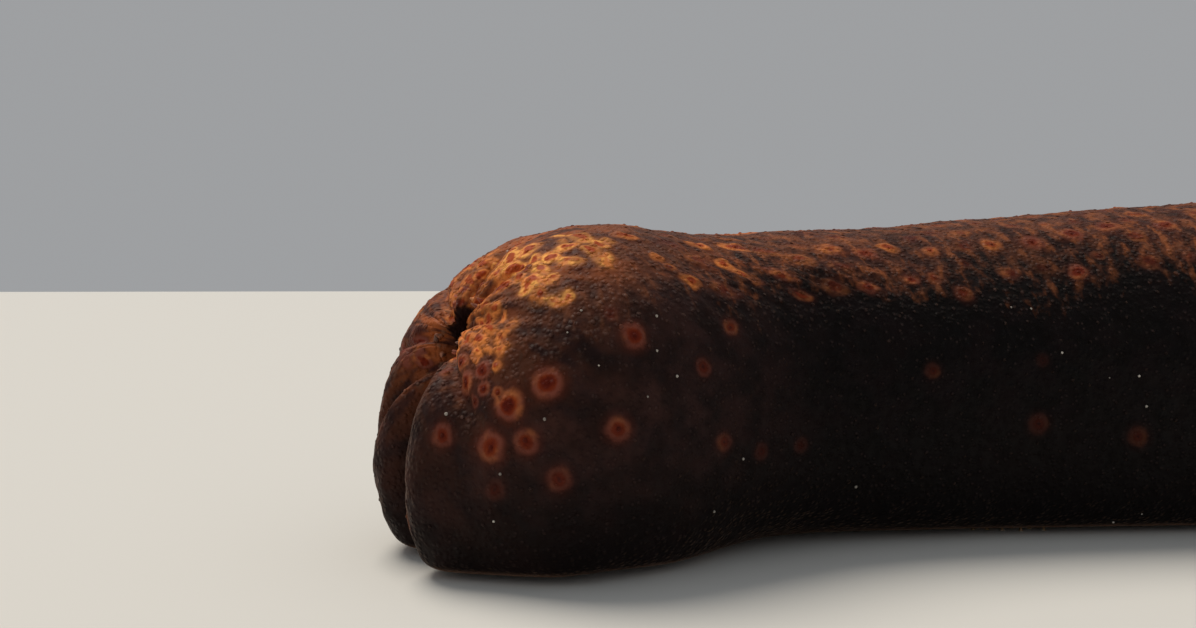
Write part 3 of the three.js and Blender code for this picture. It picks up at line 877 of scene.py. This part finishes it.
# How large the lumps of the skin's markings are, in mm, and how many finer layers they carry
SKIN_LUMPS = {"broad": (15, 3), "blotch": (3.6, 3), "fine": (1.0, 4)}
STREAK_WIDTH = 1.5
STRAND_WIDTH = 1.7
# The skin's grains are about 0.5 mm apart. They are drawn coarser, so that they show.
GRAIN_GAP = 1.3
FOOT_MOTTLE = 2.5
TENTACLE_SPECKLE = 0.8


def colour(hex_code):
    """A linear colour from an sRGB hex value."""
    parts = [int(hex_code[k : k + 2], 16) / 255 for k in (1, 3, 5)]
    linear = [c / 12.92 if c <= 0.04045 else ((c + 0.055) / 1.055) ** 2.4 for c in parts]
    return (*linear, 1.0)


def node(tree, kind, *inputs, named=None, output=0, **settings):
    """Adds a node. Its inputs are values or other nodes' outputs, in order or by name. Gives one output."""
    made = tree.nodes.new("ShaderNode" + kind)
    for key, value in settings.items():
        setattr(made, key, value)
    in_use = [socket for socket in made.inputs if socket.enabled]
    pairs = list(zip(in_use, inputs)) + [(made.inputs[key], value) for key, value in (named or {}).items()]
    for socket, value in pairs:
        if isinstance(value, bpy.types.NodeSocket):
            tree.links.new(value, socket)
        else:
            socket.default_value = value
    outputs = [socket for socket in made.outputs if socket.enabled]
    return outputs[output] if outputs else made


def new_material(name):
    material = bpy.data.materials.new(name)
    material.use_nodes = True
    material.node_tree.nodes.clear()
    return material, material.node_tree


def noise_scale(size):
    """The scale at which a noise's lumps are about this many mm across."""
    return 0.5 / (size * MM)


def skin_sources(tree):
    """What the skin's paint is made from: noises, streaks, grains, and the marks that its mesh carries."""
    on = SimpleNamespace()
    place = node(tree, "TexCoord", output=OBJECT_PLACE)
    for name, (size, layers) in SKIN_LUMPS.items():
        setattr(on, name, node(tree, "TexNoise", place, noise_scale(size), layers))
    for name in (*skin_values, "tip_share", "pale"):
        setattr(on, name, node(tree, "Attribute", output=SINGLE_VALUE, attribute_name=name))

    lie_place = on.lie.node.outputs["Vector"]
    drawn_out = node(tree, "VectorMath", lie_place, (0.5, 1.0, 1.0), operation="MULTIPLY")
    on.streaks = node(tree, "TexNoise", drawn_out, noise_scale(STREAK_WIDTH), 3)
    turned = node(tree, "Mapping", named={"Vector": lie_place, "Rotation": (0, 0, STRAND_SLANT)})
    drawn_out = node(tree, "VectorMath", turned, (1.0, 0.2, 1.0), operation="MULTIPLY")
    on.strands = node(tree, "TexNoise", drawn_out, noise_scale(STRAND_WIDTH), 3)

    on.off_grain = node(tree, "TexVoronoi", place, 1 / (GRAIN_GAP * MM))
    on.grain_tone = node(tree, "SeparateColor", on.off_grain.node.outputs["Color"])

    # How far up the back a point counts: its slope, made uneven by the noises
    on.lifted = on.upness
    for source, weight in ((on.broad, 0.8), (on.fine, 0.4), (on.streaks, 0.5), (on.rear_share, 0.08)):
        on.lifted = node(tree, "Math", source, weight, on.lifted, operation="MULTIPLY_ADD")
    on.back_share = node(tree, "MapRange", on.lifted, 1.4, 1.78, **SOFT_STEP)
    return on


def paint_ground(tree, on):
    """Near-black maroon flanks, paler towards the rear, that turn brown and streaky over the back. The
    browner back is partly the skin's own colour and partly painted light from above; the darker front and
    underside of the flank are painted shade.
    """
    blotchy = node(tree, "MapRange", on.blotch, 0.35, 0.7, **SOFT_STEP)
    rear_flank = node(tree, "Mix", blotchy, colour("#201312"), colour("#392320"), **COLOURS)
    # Painted shade: the flank is painted darker towards the front.
    front_flank_painted_shade = node(tree, "Mix", blotchy, colour("#050202"), colour("#0e0506"), **COLOURS)
    flank = node(tree, "Mix", on.rear_share, front_flank_painted_shade, rear_flank, **COLOURS)
    # Painted shade: flank skin that faces down is painted near black.
    low = node(tree, "MapRange", on.upness, 0.15, -0.35, 0.0, 0.85, **SOFT_STEP)
    flank = node(tree, "Mix", low, flank, colour("#070303"), **COLOURS)

    blotchy = node(tree, "MapRange", on.blotch, 0.38, 0.62, **SOFT_STEP)
    back = node(tree, "Mix", blotchy, colour("#42211a"), colour("#6b3b26"), **COLOURS)
    for source, low, high, strength, tint in (
        (on.streaks, 0.5, 0.66, 0.7, "#96552f"),
        (on.fine, 0.52, 0.75, 0.35, "#73513c"),
        (on.streaks, 0.48, 0.34, 0.6, "#26100c"),
        (on.rear_share, 0.2, 0.8, 0.5, "#472d26"),
    ):
        share = node(tree, "MapRange", source, low, high, 0.0, strength, **SOFT_STEP)
        back = node(tree, "Mix", share, back, colour(tint), **COLOURS)
    # The back is partly its own browner colour and partly painted light on skin that faces up.
    return node(tree, "Mix", on.back_share, flank, back, **COLOURS)


def paint_strands(tree, on, ground):
    """Slanting strands where the body is pushed together, bright only on the back."""
    on_bend = node(tree, "Math", on.wrinkled, on.back_share, operation="MULTIPLY")
    for low, high, where, tint in (
        (0.5, 0.64, on_bend, "#8f4826"),
        (0.48, 0.36, on.wrinkled, "#170908"),
    ):
        share = node(tree, "MapRange", on.strands, low, high, 0.0, 0.7, **SOFT_STEP)
        share = node(tree, "Math", share, where, operation="MULTIPLY")
        ground = node(tree, "Mix", share, ground, colour(tint), **COLOURS)
    return ground


def paint_grains(tree, on, ground):
    """Grey-violet grains that stand out one by one on the dark skin."""
    fleck = node(tree, "MapRange", on.off_grain, 0.42, 0.12, **SOFT_STEP)
    fleck = node(tree, "Math", fleck, on.grain_tone, operation="MULTIPLY")
    fleck = node(tree, "MapRange", fleck, 0.3, 0.9, **SOFT_STEP)
    strength = node(tree, "MapRange", on.lifted, 1.0, 1.7, 0.12, 0.45, **SOFT_STEP)
    fleck = node(tree, "Math", fleck, strength, operation="MULTIPLY")
    return node(tree, "Mix", fleck, ground, colour("#5c4a48"), **COLOURS)


def paint_ends(tree, on, ground):
    """Rusty skin that runs in to the anus, paler brown skin at the mouth and under the body."""
    uneven = node(tree, "MapRange", on.broad, 0.3, 0.6, 0.45, 0.95, **SOFT_STEP)
    rusty_share = node(tree, "Math", on.rusty, uneven, operation="MULTIPLY")
    run_in = node(tree, "Math", on.fine, 0.5, on.radial_streaks, operation="MULTIPLY_ADD")
    run_in = node(tree, "MapRange", run_in, 0.42, 0.98, **SOFT_STEP)
    rusty = node(tree, "Mix", run_in, colour("#471a0f"), colour("#b05c2c"), **COLOURS)
    dusty = node(tree, "MapRange", on.fine, 0.55, 0.7, 0.0, 0.5, **SOFT_STEP)
    rusty = node(tree, "Mix", dusty, rusty, colour("#94705a"), **COLOURS)
    at_mouth = node(tree, "MapRange", on.mouth_near, 0.3, 0.8, 0.0, 0.7, **SOFT_STEP)
    sole = node(tree, "Mix", on.blotch, colour("#66483a"), colour("#8a6a55"), **COLOURS)
    for share, tint in ((rusty_share, rusty), (at_mouth, colour("#5c4234")), (on.underside, sole)):
        ground = node(tree, "Mix", share, ground, tint, **COLOURS)
    return ground


def paint_spots(tree, on, ground):
    """Ringed spots: a dark rusty heart, a brick red ring that pales outwards, and a faint glow round it.
    In a net the rings are orange to gold, and the skin glows between them; the gold is partly a painted
    highlight on rings that face up."""
    off_fine = node(tree, "Math", on.fine, 0.5, operation="SUBTRACT")
    off_blotch = node(tree, "Math", on.blotch, 0.5, operation="SUBTRACT")
    reach = node(tree, "Math", off_fine, 0.4, on.spot_reach, operation="MULTIPLY_ADD")
    reach = node(tree, "Math", off_blotch, 0.45, reach, operation="MULTIPLY_ADD")

    # How orange the ring is here; in a net it sparkles.
    sparkle = node(tree, "Math", off_fine, on.spot_net, operation="MULTIPLY")
    warmth = node(tree, "Math", off_blotch, 1.6, on.spot_warm, operation="MULTIPLY_ADD")
    warmth = node(tree, "Math", sparkle, 1.5, warmth, operation="MULTIPLY_ADD")
    warmth = node(tree, "Math", on.spot_net, 0.22, warmth, operation="MULTIPLY_ADD")
    orange = node(tree, "MapRange", warmth, 0.1, 0.95, **SOFT_STEP)
    inner = node(tree, "Mix", orange, colour("#74290f"), colour("#bd561b"), **COLOURS)
    outer = node(tree, "Mix", orange, colour("#7a4032"), colour("#e08440"), **COLOURS)
    # Partly the nets' own gold and partly a painted highlight: it is held to skin that faces up.
    gold_and_highlight = node(tree, "MapRange", warmth, 0.65, 1.1, **SOFT_STEP)
    for source, low, high in ((on.fine, 0.38, 0.58), (on.upness, 0.35, 0.7), (on.spot_warm, 0.7, 0.95)):
        limit = node(tree, "MapRange", source, low, high, **SOFT_STEP)
        gold_and_highlight = node(tree, "Math", gold_and_highlight, limit, operation="MULTIPLY")
    outer = node(tree, "Mix", gold_and_highlight, outer, colour("#ffb55c"), **COLOURS)
    out_share = node(tree, "MapRange", reach, 0.42, 0.68, **SOFT_STEP)
    ring_colour = node(tree, "Mix", out_share, inner, outer, **COLOURS)
    net_heart = node(tree, "Mix", orange, colour("#651c0d"), colour("#a13c14"), **COLOURS)
    heart_colour = node(tree, "Mix", on.spot_net, colour("#5a1508"), net_heart, **COLOURS)

    # Only in a net does the glow turn amber, and reach from ring to ring.
    in_net = node(tree, "MapRange", on.spot_net, 0.8, 1.0, **SOFT_STEP)
    glow_strength = node(tree, "Math", in_net, 0.35, 0.5, operation="MULTIPLY_ADD")
    glow = node(tree, "MapRange", reach, 1.7, 0.8, 0.0, glow_strength, **SOFT_STEP)
    amber = node(tree, "Math", in_net, orange, operation="MULTIPLY")
    glow_colour = node(tree, "Mix", amber, colour("#57200f"), colour("#a35f2c"), **COLOURS)

    # The ring lies between its heart and its edge, and is torn where streaks and strands cross it.
    core = node(tree, "Math", on.spot_net, -0.14, reach, operation="MULTIPLY_ADD")
    heart = node(tree, "MapRange", core, 0.5, 0.24, 0.0, 0.88, **SOFT_STEP)
    edge = node(tree, "Math", on.spot_net, -0.12, reach, operation="MULTIPLY_ADD")
    ring = node(tree, "MapRange", edge, 1.15, 0.66, **SOFT_STEP)
    opened = node(tree, "MapRange", reach, 0.1, 0.32, **SOFT_STEP)
    ring = node(tree, "Math", ring, opened, operation="MULTIPLY")
    for source, low, high, where in (
        (on.radial_streaks, 0.42, 0.26, on.spot_net),
        (on.strands, 0.56, 0.4, on.wrinkled),
    ):
        torn = node(tree, "MapRange", source, low, high, 0.0, -0.7, **SOFT_STEP)
        whole = node(tree, "Math", torn, where, 1.0, operation="MULTIPLY_ADD")
        ring = node(tree, "Math", ring, whole, operation="MULTIPLY")
    for share, tint in ((glow, glow_colour), (ring, ring_colour), (heart, heart_colour)):
        share = node(tree, "Math", share, on.spot_clear, operation="MULTIPLY")
        ground = node(tree, "Mix", share, ground, tint, **COLOURS)
    return ground


def paint_shade_in_depths(tree, on, ground):
    """Painted shade: dark inside the anus and in creases and folds."""
    crease_shade = node(tree, "MapRange", on.relief, 0.1, -0.9, 0.0, 0.5, **SOFT_STEP)
    fold_shade = node(tree, "MapRange", on.fold_depth, 1.2, 6.0, 0.0, 0.75, **SOFT_STEP)
    # Each colour is painted shade: inside the anus, in the creases, and at the bottom of the folds.
    for share, tint in ((on.in_anus, "#200a07"), (crease_shade, "#0f0706"), (fold_shade, "#0d0605")):
        ground = node(tree, "Mix", share, ground, colour(tint), **COLOURS)
    return ground


def paint_tips(tree, on, ground):
    """Growths have the skin's markings and a slightly paler tip; a few tips are almost white."""
    paler = node(tree, "MapRange", on.tip_share, 0.2, 1.0, **SOFT_STEP)
    strength = node(tree, "MapRange", on.lifted, 1.0, 1.7, 0.06, 0.22, **SOFT_STEP)
    paler = node(tree, "Math", paler, strength, operation="MULTIPLY")
    white = node(tree, "MapRange", on.tip_share, 0.1, 0.5, **SOFT_STEP)
    white = node(tree, "Math", white, on.pale, operation="MULTIPLY")
    for share, tint in ((paler, "#7d625a"), (white, "#cfc8bd")):
        ground = node(tree, "Mix", share, ground, colour(tint), **COLOURS)
    return ground


def living_skin():
    """Damp living body wall, leathery and finely grained: near-black maroon on the flanks, browner and
    hazed with grey on the back, with ringed spots. Part of that is painted light: the back is painted lighter
    as if lit from above, the flanks' front and underside and the folds are painted darker as shade, and
    up-facing net rings carry a painted highlight. To the eye it is matt, with a soft pale bloom where it
    turns away and small broken glints on its grains."""
    material, tree = new_material("living_skin")
    on = skin_sources(tree)
    painted = paint_ground(tree, on)
    for lay in (paint_strands, paint_grains, paint_ends, paint_spots, paint_shade_in_depths, paint_tips):
        painted = lay(tree, on, painted)

    grains = node(tree, "MapRange", on.off_grain, 0.6, 0.1, **SOFT_STEP)
    height = node(tree, "Math", grains, 0.8, on.fine, operation="MULTIPLY_ADD")
    height = node(tree, "Math", on.streaks, 0.8, height, operation="MULTIPLY_ADD")
    bump = node(tree, "Bump", named={"Height": height, "Strength": 0.8, "Distance": 0.4 * MM})
    look = {
        "Base Color": painted,
        "Roughness": node(tree, "MapRange", on.fine, 0.3, 0.7, 0.5, 0.72, **SOFT_STEP),
        "IOR": 1.38,
        "Specular IOR Level": 0.14,
        "Sheen Weight": 0.2,
        "Sheen Roughness": 0.3,
        "Sheen Tint": colour("#b48a6a"),
        "Normal": bump,
    }
    node(tree, "OutputMaterial", node(tree, "BsdfPrincipled", named=look))
    return material


def tube_foot_flesh():
    """Soft wet flesh of the tube feet, yellowish brown and a little see-through: it glows at thin edges."""
    material, tree = new_material("tube_foot_flesh")
    place = node(tree, "TexCoord", output=OBJECT_PLACE)
    mottle = node(tree, "TexNoise", place, noise_scale(FOOT_MOTTLE), 3)
    tone = node(tree, "Mix", mottle, colour("#7a5a40"), colour("#b08f6a"), **COLOURS)
    tip_share = node(tree, "Attribute", output=SINGLE_VALUE, attribute_name="tip_share")
    sucker = node(tree, "MapRange", tip_share, 0.6, 1.0, 0.0, 0.6, **SOFT_STEP)
    look = {
        "Base Color": node(tree, "Mix", sucker, tone, colour("#c9b294"), **COLOURS),
        "Roughness": 0.4,
        "IOR": 1.38,
        "Subsurface Weight": 0.2,
        "Subsurface Scale": 0.6 * MM,
    }
    node(tree, "OutputMaterial", node(tree, "BsdfPrincipled", named=look))
    return material


def tentacle_flesh():
    """Wet tentacle flesh: dark brown stalks and ochre frills, smoother and glossier than the body."""
    material, tree = new_material("tentacle_flesh")
    place = node(tree, "TexCoord", output=OBJECT_PLACE)
    speckle = node(tree, "TexNoise", place, noise_scale(TENTACLE_SPECKLE), 3)
    stalk = node(tree, "Mix", speckle, colour("#2c1a13"), colour("#4d3223"), **COLOURS)
    clear_speckle = node(tree, "MapRange", speckle, 0.35, 0.65, **SOFT_STEP)
    frill = node(tree, "Mix", clear_speckle, colour("#7b5a36"), colour("#b39263"), **COLOURS)
    frill_mark = node(tree, "Attribute", output=SINGLE_VALUE, attribute_name="frill")
    frill_share = node(tree, "MapRange", frill_mark, 0.15, 0.8, **SOFT_STEP)
    bump = node(tree, "Bump", named={"Height": speckle, "Strength": 0.5, "Distance": 0.2 * MM})
    look = {
        "Base Color": node(tree, "Mix", frill_share, stalk, frill, **COLOURS),
        "Roughness": 0.38,
        "IOR": 1.38,
        "Subsurface Weight": 0.12,
        "Subsurface Scale": 0.8 * MM,
        "Normal": bump,
    }
    node(tree, "OutputMaterial", node(tree, "BsdfPrincipled", named=look))
    return material


def settle(piece, material, replaces=()):
    """Gives a piece its material, hangs it on the body's root and hides the solids that it stands for."""
    piece.data.materials.append(material)
    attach(piece, "root")
    if replaces:
        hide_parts(*replaces)


BODY_NODES = [
    "anal_rim", "rear_end", "trunk_rear", "trunk_middle", "trunk_front", "oral_end",
    "oral_collar", "oral_disc", "sole_rear", "sole_middle", "sole_front",
]
body_wall = living_skin()
settle(skin, body_wall, BODY_NODES)

# Papillae in the hearts of the clear spots, and pale tips on the flank

CLEAR_ENOUGH = 0.45
HEART_WIDTH = {"least": 0.7, "per_radius": 0.12}
PALE_SPACING = 22
PALE_OFF_ANUS = 20
PALE_LEAST = (0.5, 0.35)  # width, and how white
PALE_MOST = (0.95, 0.95)

single = [spot for spot in spots if spot.ragged < 1 and spot.clear > CLEAR_ENOUGH]
hearts_at = [spot.at for spot in single]
heart_width = HEART_WIDTH["least"] + HEART_WIDTH["per_radius"] * np.array([spot.radius for spot in single])
hearts = plant(
    "spot_papillae", hearts_at, WART, sides=10, widths=heart_width, heights=heart_width * 0.3,
    seed=61, lean=0.12, tip_shade=0,
)
settle(hearts, body_wall)

pale_at = under_pixels(PALE_TIPS_SHOWN)
pale_part = above_sole & ~seen & (anus_distance > PALE_OFF_ANUS)
pale_at += scatter(pale_part, PALE_SPACING, seed=62, taken=pale_at, tries=500)
pale_width, whiteness = np.random.default_rng(72).uniform(PALE_LEAST, PALE_MOST, (len(pale_at), 2)).T
pale_tips = plant(
    "pale_papillae", pale_at, WART, sides=8, widths=pale_width, heights=pale_width * 0.55,
    seed=63, lean=0.15, pale=whiteness,
)
settle(pale_tips, body_wall)

# Warts make the skin's grain: closer and larger on the back, sparse and small on the flanks.

WART_SLOPE = 0.45
WARTS_CLEAR = {"anus": 10, "mouth": 20}
off_ends = (anus_distance > WARTS_CLEAR["anus"]) & (mouth_distance > WARTS_CLEAR["mouth"]) & above_sole
wart_back = slope > WART_SLOPE
# Each row: name, where, spacing, widths, height for each mm of width, seed.
for name, chosen, spacing, limits, tallness, seed in (
    ("back_warts", off_ends & wart_back, 2.7, (0.8, 1.4), 0.15, 64),
    ("flank_warts", off_ends & ~wart_back, 3.6, (0.6, 1.1), 0.18, 65),
):
    roots = scatter(chosen, spacing, seed, taken=hearts_at, tries=16000)
    widths = np.random.default_rng(seed).uniform(*limits, len(roots))
    warts = plant(name, roots, WART, sides=7, widths=widths, heights=widths * tallness, seed=seed, lean=0.1)
    settle(warts, body_wall)

# Five groups of three papillae round the anus, and a collar of them round the mouth

GROUP_TURN = 72  # degrees
FIRST_TURN = 36
NEXT_TURN = 13
ANAL_RING = {"up": 10.5, "side": 7.6}  # the middle one of each group stands on this ring
NEARER = {"up": 1.0, "side": 0.6}  # and the outer two this much further in
COLLAR_RING = (19, 26)  # from the middle of the mouth
COLLAR_LOWEST = 2.5
COLLAR_SPACING = 2.6
COLLAR_WIDTHS = (1.2, 2.0)


def beside_rim(end, turn, up, side):
    """The skin point nearest to a place round an end's rim."""
    target = end.rim_centre + up * math.cos(turn) * end.pole_up + side * math.sin(turn) * end.pole_side
    return int(np.argmin(np.linalg.norm(points - target, axis=1)))


anal_at = []
for group in range(5):
    for k in (-1, 0, 1):
        turn = math.radians(GROUP_TURN * group + FIRST_TURN + NEXT_TURN * k)
        up, side = (ANAL_RING[way] - NEARER[way] * abs(k) for way in ("up", "side"))
        anal_at.append(beside_rim(rear, turn, up, side))
anal = plant("anal_papillae", anal_at, CONE, sides=12, widths=1.7, heights=2.2, seed=66, lean=0.15, pale=0.12)
settle(anal, body_wall)

in_collar = (mouth_distance > COLLAR_RING[0]) & (mouth_distance < COLLAR_RING[1]) & on_outside
collar_at = scatter(in_collar & (points[:, 2] > COLLAR_LOWEST), COLLAR_SPACING, seed=67)
collar_width = np.random.default_rng(68).uniform(*COLLAR_WIDTHS, len(collar_at))
collar = plant(
    "collar_papillae", collar_at, CONE, sides=10, widths=collar_width, heights=collar_width * 0.85,
    seed=69, lean=0.25, pale=0.15,
)
settle(collar, body_wall)

# Tube feet from the sole down to the floor

SOLE_TOP = 1.15
SOLE_SLOPE = -0.9
FOOT_SPACING = 3.3
FOOT_WIDTH = 1.25

on_sole = (skin_points[:, 2] < SOLE_TOP) & (slope < SOLE_SLOPE) & on_outside
foot_at = scatter(on_sole, FOOT_SPACING, seed=70, tries=9000)
foot_length = skin_points[foot_at, 2]
feet = plant(
    "tube_feet", foot_at, TUBE_FOOT, sides=8, widths=FOOT_WIDTH, heights=foot_length, seed=71, way=(0, 0, -1)
)
settle(feet, tube_foot_flesh())

# The crown of tentacles: a stalk that bends outwards and ends in a frilled shield

TENTACLES = 20
SHIELD = 4.1  # its radius
FLOOR_GAP = 0.05
# Radius where the stalk starts, and where its shield is: how far out, how far forward, how much a
# shield that is lifted off the floor fans out and is pushed forward.
INNER = {"ring": 8.4, "spread": 16.2, "rise": 22, "fan": 0, "push": 0.6}
OUTER = {"ring": 11.3, "spread": 22.5, "rise": 15.5, "fan": 0.02, "push": -0.05}
STALK_BEND = 0.8  # of the way out
STALK = [(0, 1.9), (0.2, 1.72), (0.45, 1.6), (0.65, 1.75), (0.82, 2.1), (0.92, 2.5)]  # way, radius
STALK_END = STALK[-1][0]
STALK_RINGS = {"count": 9, "height": 0.05}
# Distance beyond the stalk's end, share of the shield's radius, and how deeply it is cut into fingers.
FRILL = [
    (-1.2, 0.66, 0.1), (-1.1, 0.84, 0.3), (-0.9, 0.97, 0.55), (-0.5, 1.03, 0.7), (-0.1, 1.04, 0.75),
    (0.3, 1.0, 0.7), (0.6, 0.9, 0.55), (0.9, 0.78, 0.42), (1.2, 0.62, 0.3), (1.5, 0.44, 0.2),
    (1.75, 0.26, 0.1), (1.9, 0.06, 0),
]
FINGERS = (10, 14)
FINGER_STRAY = (0.3, 0.35)  # how far they stray from an even spread, once and twice round
FINGER_BLUNTNESS = 0.7
FINGER_CUT = 0.66
FINGER_LIFT = {"height": 0.7, "level_at": 0.6}
UNEVEN_LENGTH = {3: 0.09, 5: 0.07}  # by how often it comes and goes round the shield
KNOBS = {"twist": 4, "rows": 13, "waver": 0.8, "out": 0.05, "up": 0.3, "least_share": 0.15}
FRILL_TONE = {"stalk": 0.1, "shield": 0.25, "fingers": 0.75, "knobs": 0.3}
TENTACLE_SIDES = 88
STALK_ROWS = 16
FRILL_ROWS = 32
crown_x = np.cross(front.pole_up, front.pole)
crown_at = front.rim_centre - front.pole * ORAL_DISC_DEPTH
crown_axes = np.stack([crown_x, front.pole_up, front.pole])
floor_up = crown_axes @ UP


def tentacle_path(turn, row):
    """Where a tentacle starts, bends and ends, clear of the floor, and the way across it."""
    outward = np.array([math.sin(turn), math.cos(turn), 0])
    out = np.array([0, 0, 1.0])
    root = outward * row["ring"]
    tip = outward * row["spread"] + out * row["rise"]
    missing = SHIELD - tip @ floor_up - crown_at[2]
    way = floor_up + row["push"] * out
    lift = max(0, missing) / (way @ floor_up)
    tip = tip + way * lift
    tip[0] *= 1 + row["fan"] * lift
    bend = root + out * STALK_BEND * tip[2]
    return root, bend, tip, np.cross(out, outward)


def round_way(angle, way, across):
    """Unit vectors that turn round a way, one for each angle."""
    return np.outer(np.cos(angle), across) + np.outer(np.sin(angle), np.cross(way, across))


def make_tentacle(number, material):
    """One closed tube: loops up the stalk, and on over the shield to its middle."""
    turn = (number + 0.5) / TENTACLES * 2 * math.pi
    root, bend, tip, across = tentacle_path(turn, OUTER if number % 2 else INNER)
    angle = np.arange(TENTACLE_SIDES) / TENTACLE_SIDES * 2 * np.pi
    rng = np.random.default_rng(100 + number)
    fingers = rng.integers(*FINGERS)
    phases = rng.uniform(0, 2 * np.pi, 4)
    once, twice = FINGER_STRAY
    stray = once * np.sin(angle + phases[0]) + twice * np.sin(2 * angle + phases[1])
    finger = np.abs(np.cos(0.5 * fingers * angle + stray)) ** FINGER_BLUNTNESS
    length = 1
    for (times, amount), phase in zip(UNEVEN_LENGTH.items(), phases[2:]):
        length = length + amount * np.sin(times * angle + phase)
    loops = []
    tones = []
    for t in np.linspace(0, STALK_END, STALK_ROWS):
        at = (1 - t) ** 2 * root + 2 * t * (1 - t) * bend + t * t * tip
        way = unit((1 - t) * (bend - root) + t * (tip - bend))
        rings = 1 + STALK_RINGS["height"] * np.cos(STALK_RINGS["count"] * t * 2 * np.pi)
        radius = np.interp(t, *np.array(STALK).T) * rings
        loops.append(at + radius * round_way(angle, way, across))
        tones.append(np.full(TENTACLE_SIDES, FRILL_TONE["stalk"] * t))
    way = unit(tip - bend)
    around = round_way(angle, way, across)
    for beyond, share, cut in along(FRILL, np.linspace(0, 1, FRILL_ROWS)):
        knobs = np.cos(2 * fingers * angle + phases[1] + KNOBS["twist"] * share)
        knobs = knobs * np.cos(KNOBS["rows"] * share + KNOBS["waver"] * np.sin(3 * angle))
        radius = SHIELD * share * length * (1 - FINGER_CUT * cut * (1 - finger) + KNOBS["out"] * knobs)
        rise = beyond + FINGER_LIFT["height"] * cut * (finger - FINGER_LIFT["level_at"]) * share
        rise = rise + KNOBS["up"] * knobs * (share > KNOBS["least_share"])
        loops.append(tip + radius[:, None] * around + rise[:, None] * way)
        tone = FRILL_TONE["shield"] + FRILL_TONE["fingers"] * finger * share + FRILL_TONE["knobs"] * knobs
        tones.append(np.clip(tone, 0, 1))
    vertices = crown_at + np.array(loops).reshape(-1, 3) @ crown_axes
    vertices[:, 2] = np.maximum(vertices[:, 2], FLOOR_GAP)  # a frill that touches down spreads on the floor
    faces, uvs = closed_grid(len(loops), TENTACLE_SIDES)
    name = f"tentacle_{number + 1:02d}"
    piece = mesh_piece(name + "_flesh", vertices, faces, uvs, {"frill": np.concatenate(tones)})
    settle(piece, material, [name])


flesh = tentacle_flesh()
for number in range(TENTACLES):
    make_tentacle(number, flesh)

# Floor, light and camera

FLOOR_HALF = 6.0  # m
SKY_STRENGTH = 0.42
CLIP = {"start": 0.01, "end": 50}  # m


def matt_floor():
    """Matt painted board: pale, even and without gloss."""
    material, tree = new_material("matt_painted_board")
    look = {"Base Color": colour("#dcdcd8"), "Roughness": 0.85, "Specular IOR Level": 0.2}
    node(tree, "OutputMaterial", node(tree, "BsdfPrincipled", named=look))
    return material


def make_floor():
    corners = [(-1, -1, 0), (1, -1, 0), (1, 1, 0), (-1, 1, 0)]
    scale = FLOOR_HALF / MM
    vertices = [(x * scale, y * scale, z) for x, y, z in corners]
    floor = mesh_piece("floor", vertices, [(0, 1, 2, 3)], smooth_shaded=False)
    floor.data.materials.append(matt_floor())


def make_light(name, elevation, azimuth, width, strength, tint):
    """A wide, far light. Angles are in degrees; azimuth 0 shines from +X and 90 from +Y."""
    data = bpy.data.lights.new(name, "SUN")
    data.angle = math.radians(width)
    data.energy = strength
    data.color = colour(tint)[:3]
    light = bpy.data.objects.new(name, data)
    bpy.context.scene.collection.objects.link(light)
    light.rotation_euler = (0, math.radians(90 - elevation), math.radians(azimuth))


def make_world():
    world = bpy.data.worlds.new("soft_studio")
    world.use_nodes = True
    tree = world.node_tree
    tree.nodes.clear()
    sky = node(tree, "Background", colour("#e9ebee"), SKY_STRENGTH)
    node(tree, "OutputWorld", sky)
    bpy.context.scene.world = world


def make_camera():
    data = bpy.data.cameras.new("camera")
    data.sensor_width = SENSOR_WIDTH
    data.lens = SENSOR_WIDTH * PICTURE["focal"] / PICTURE["width"]
    data.clip_start = CLIP["start"]
    data.clip_end = CLIP["end"]
    camera = bpy.data.objects.new("camera", data)
    bpy.context.scene.collection.objects.link(camera)
    camera.location = CAMERA_AT * MM
    camera.rotation_euler = (math.pi / 2 + CAMERA_PITCH, 0, -CAMERA_YAW)
    bpy.context.scene.camera = camera


make_floor()
make_world()
make_light("key", elevation=62, azimuth=125, width=34, strength=2.3, tint="#fff4e6")
make_camera()
bpy.context.scene.view_settings.view_transform = "Standard"
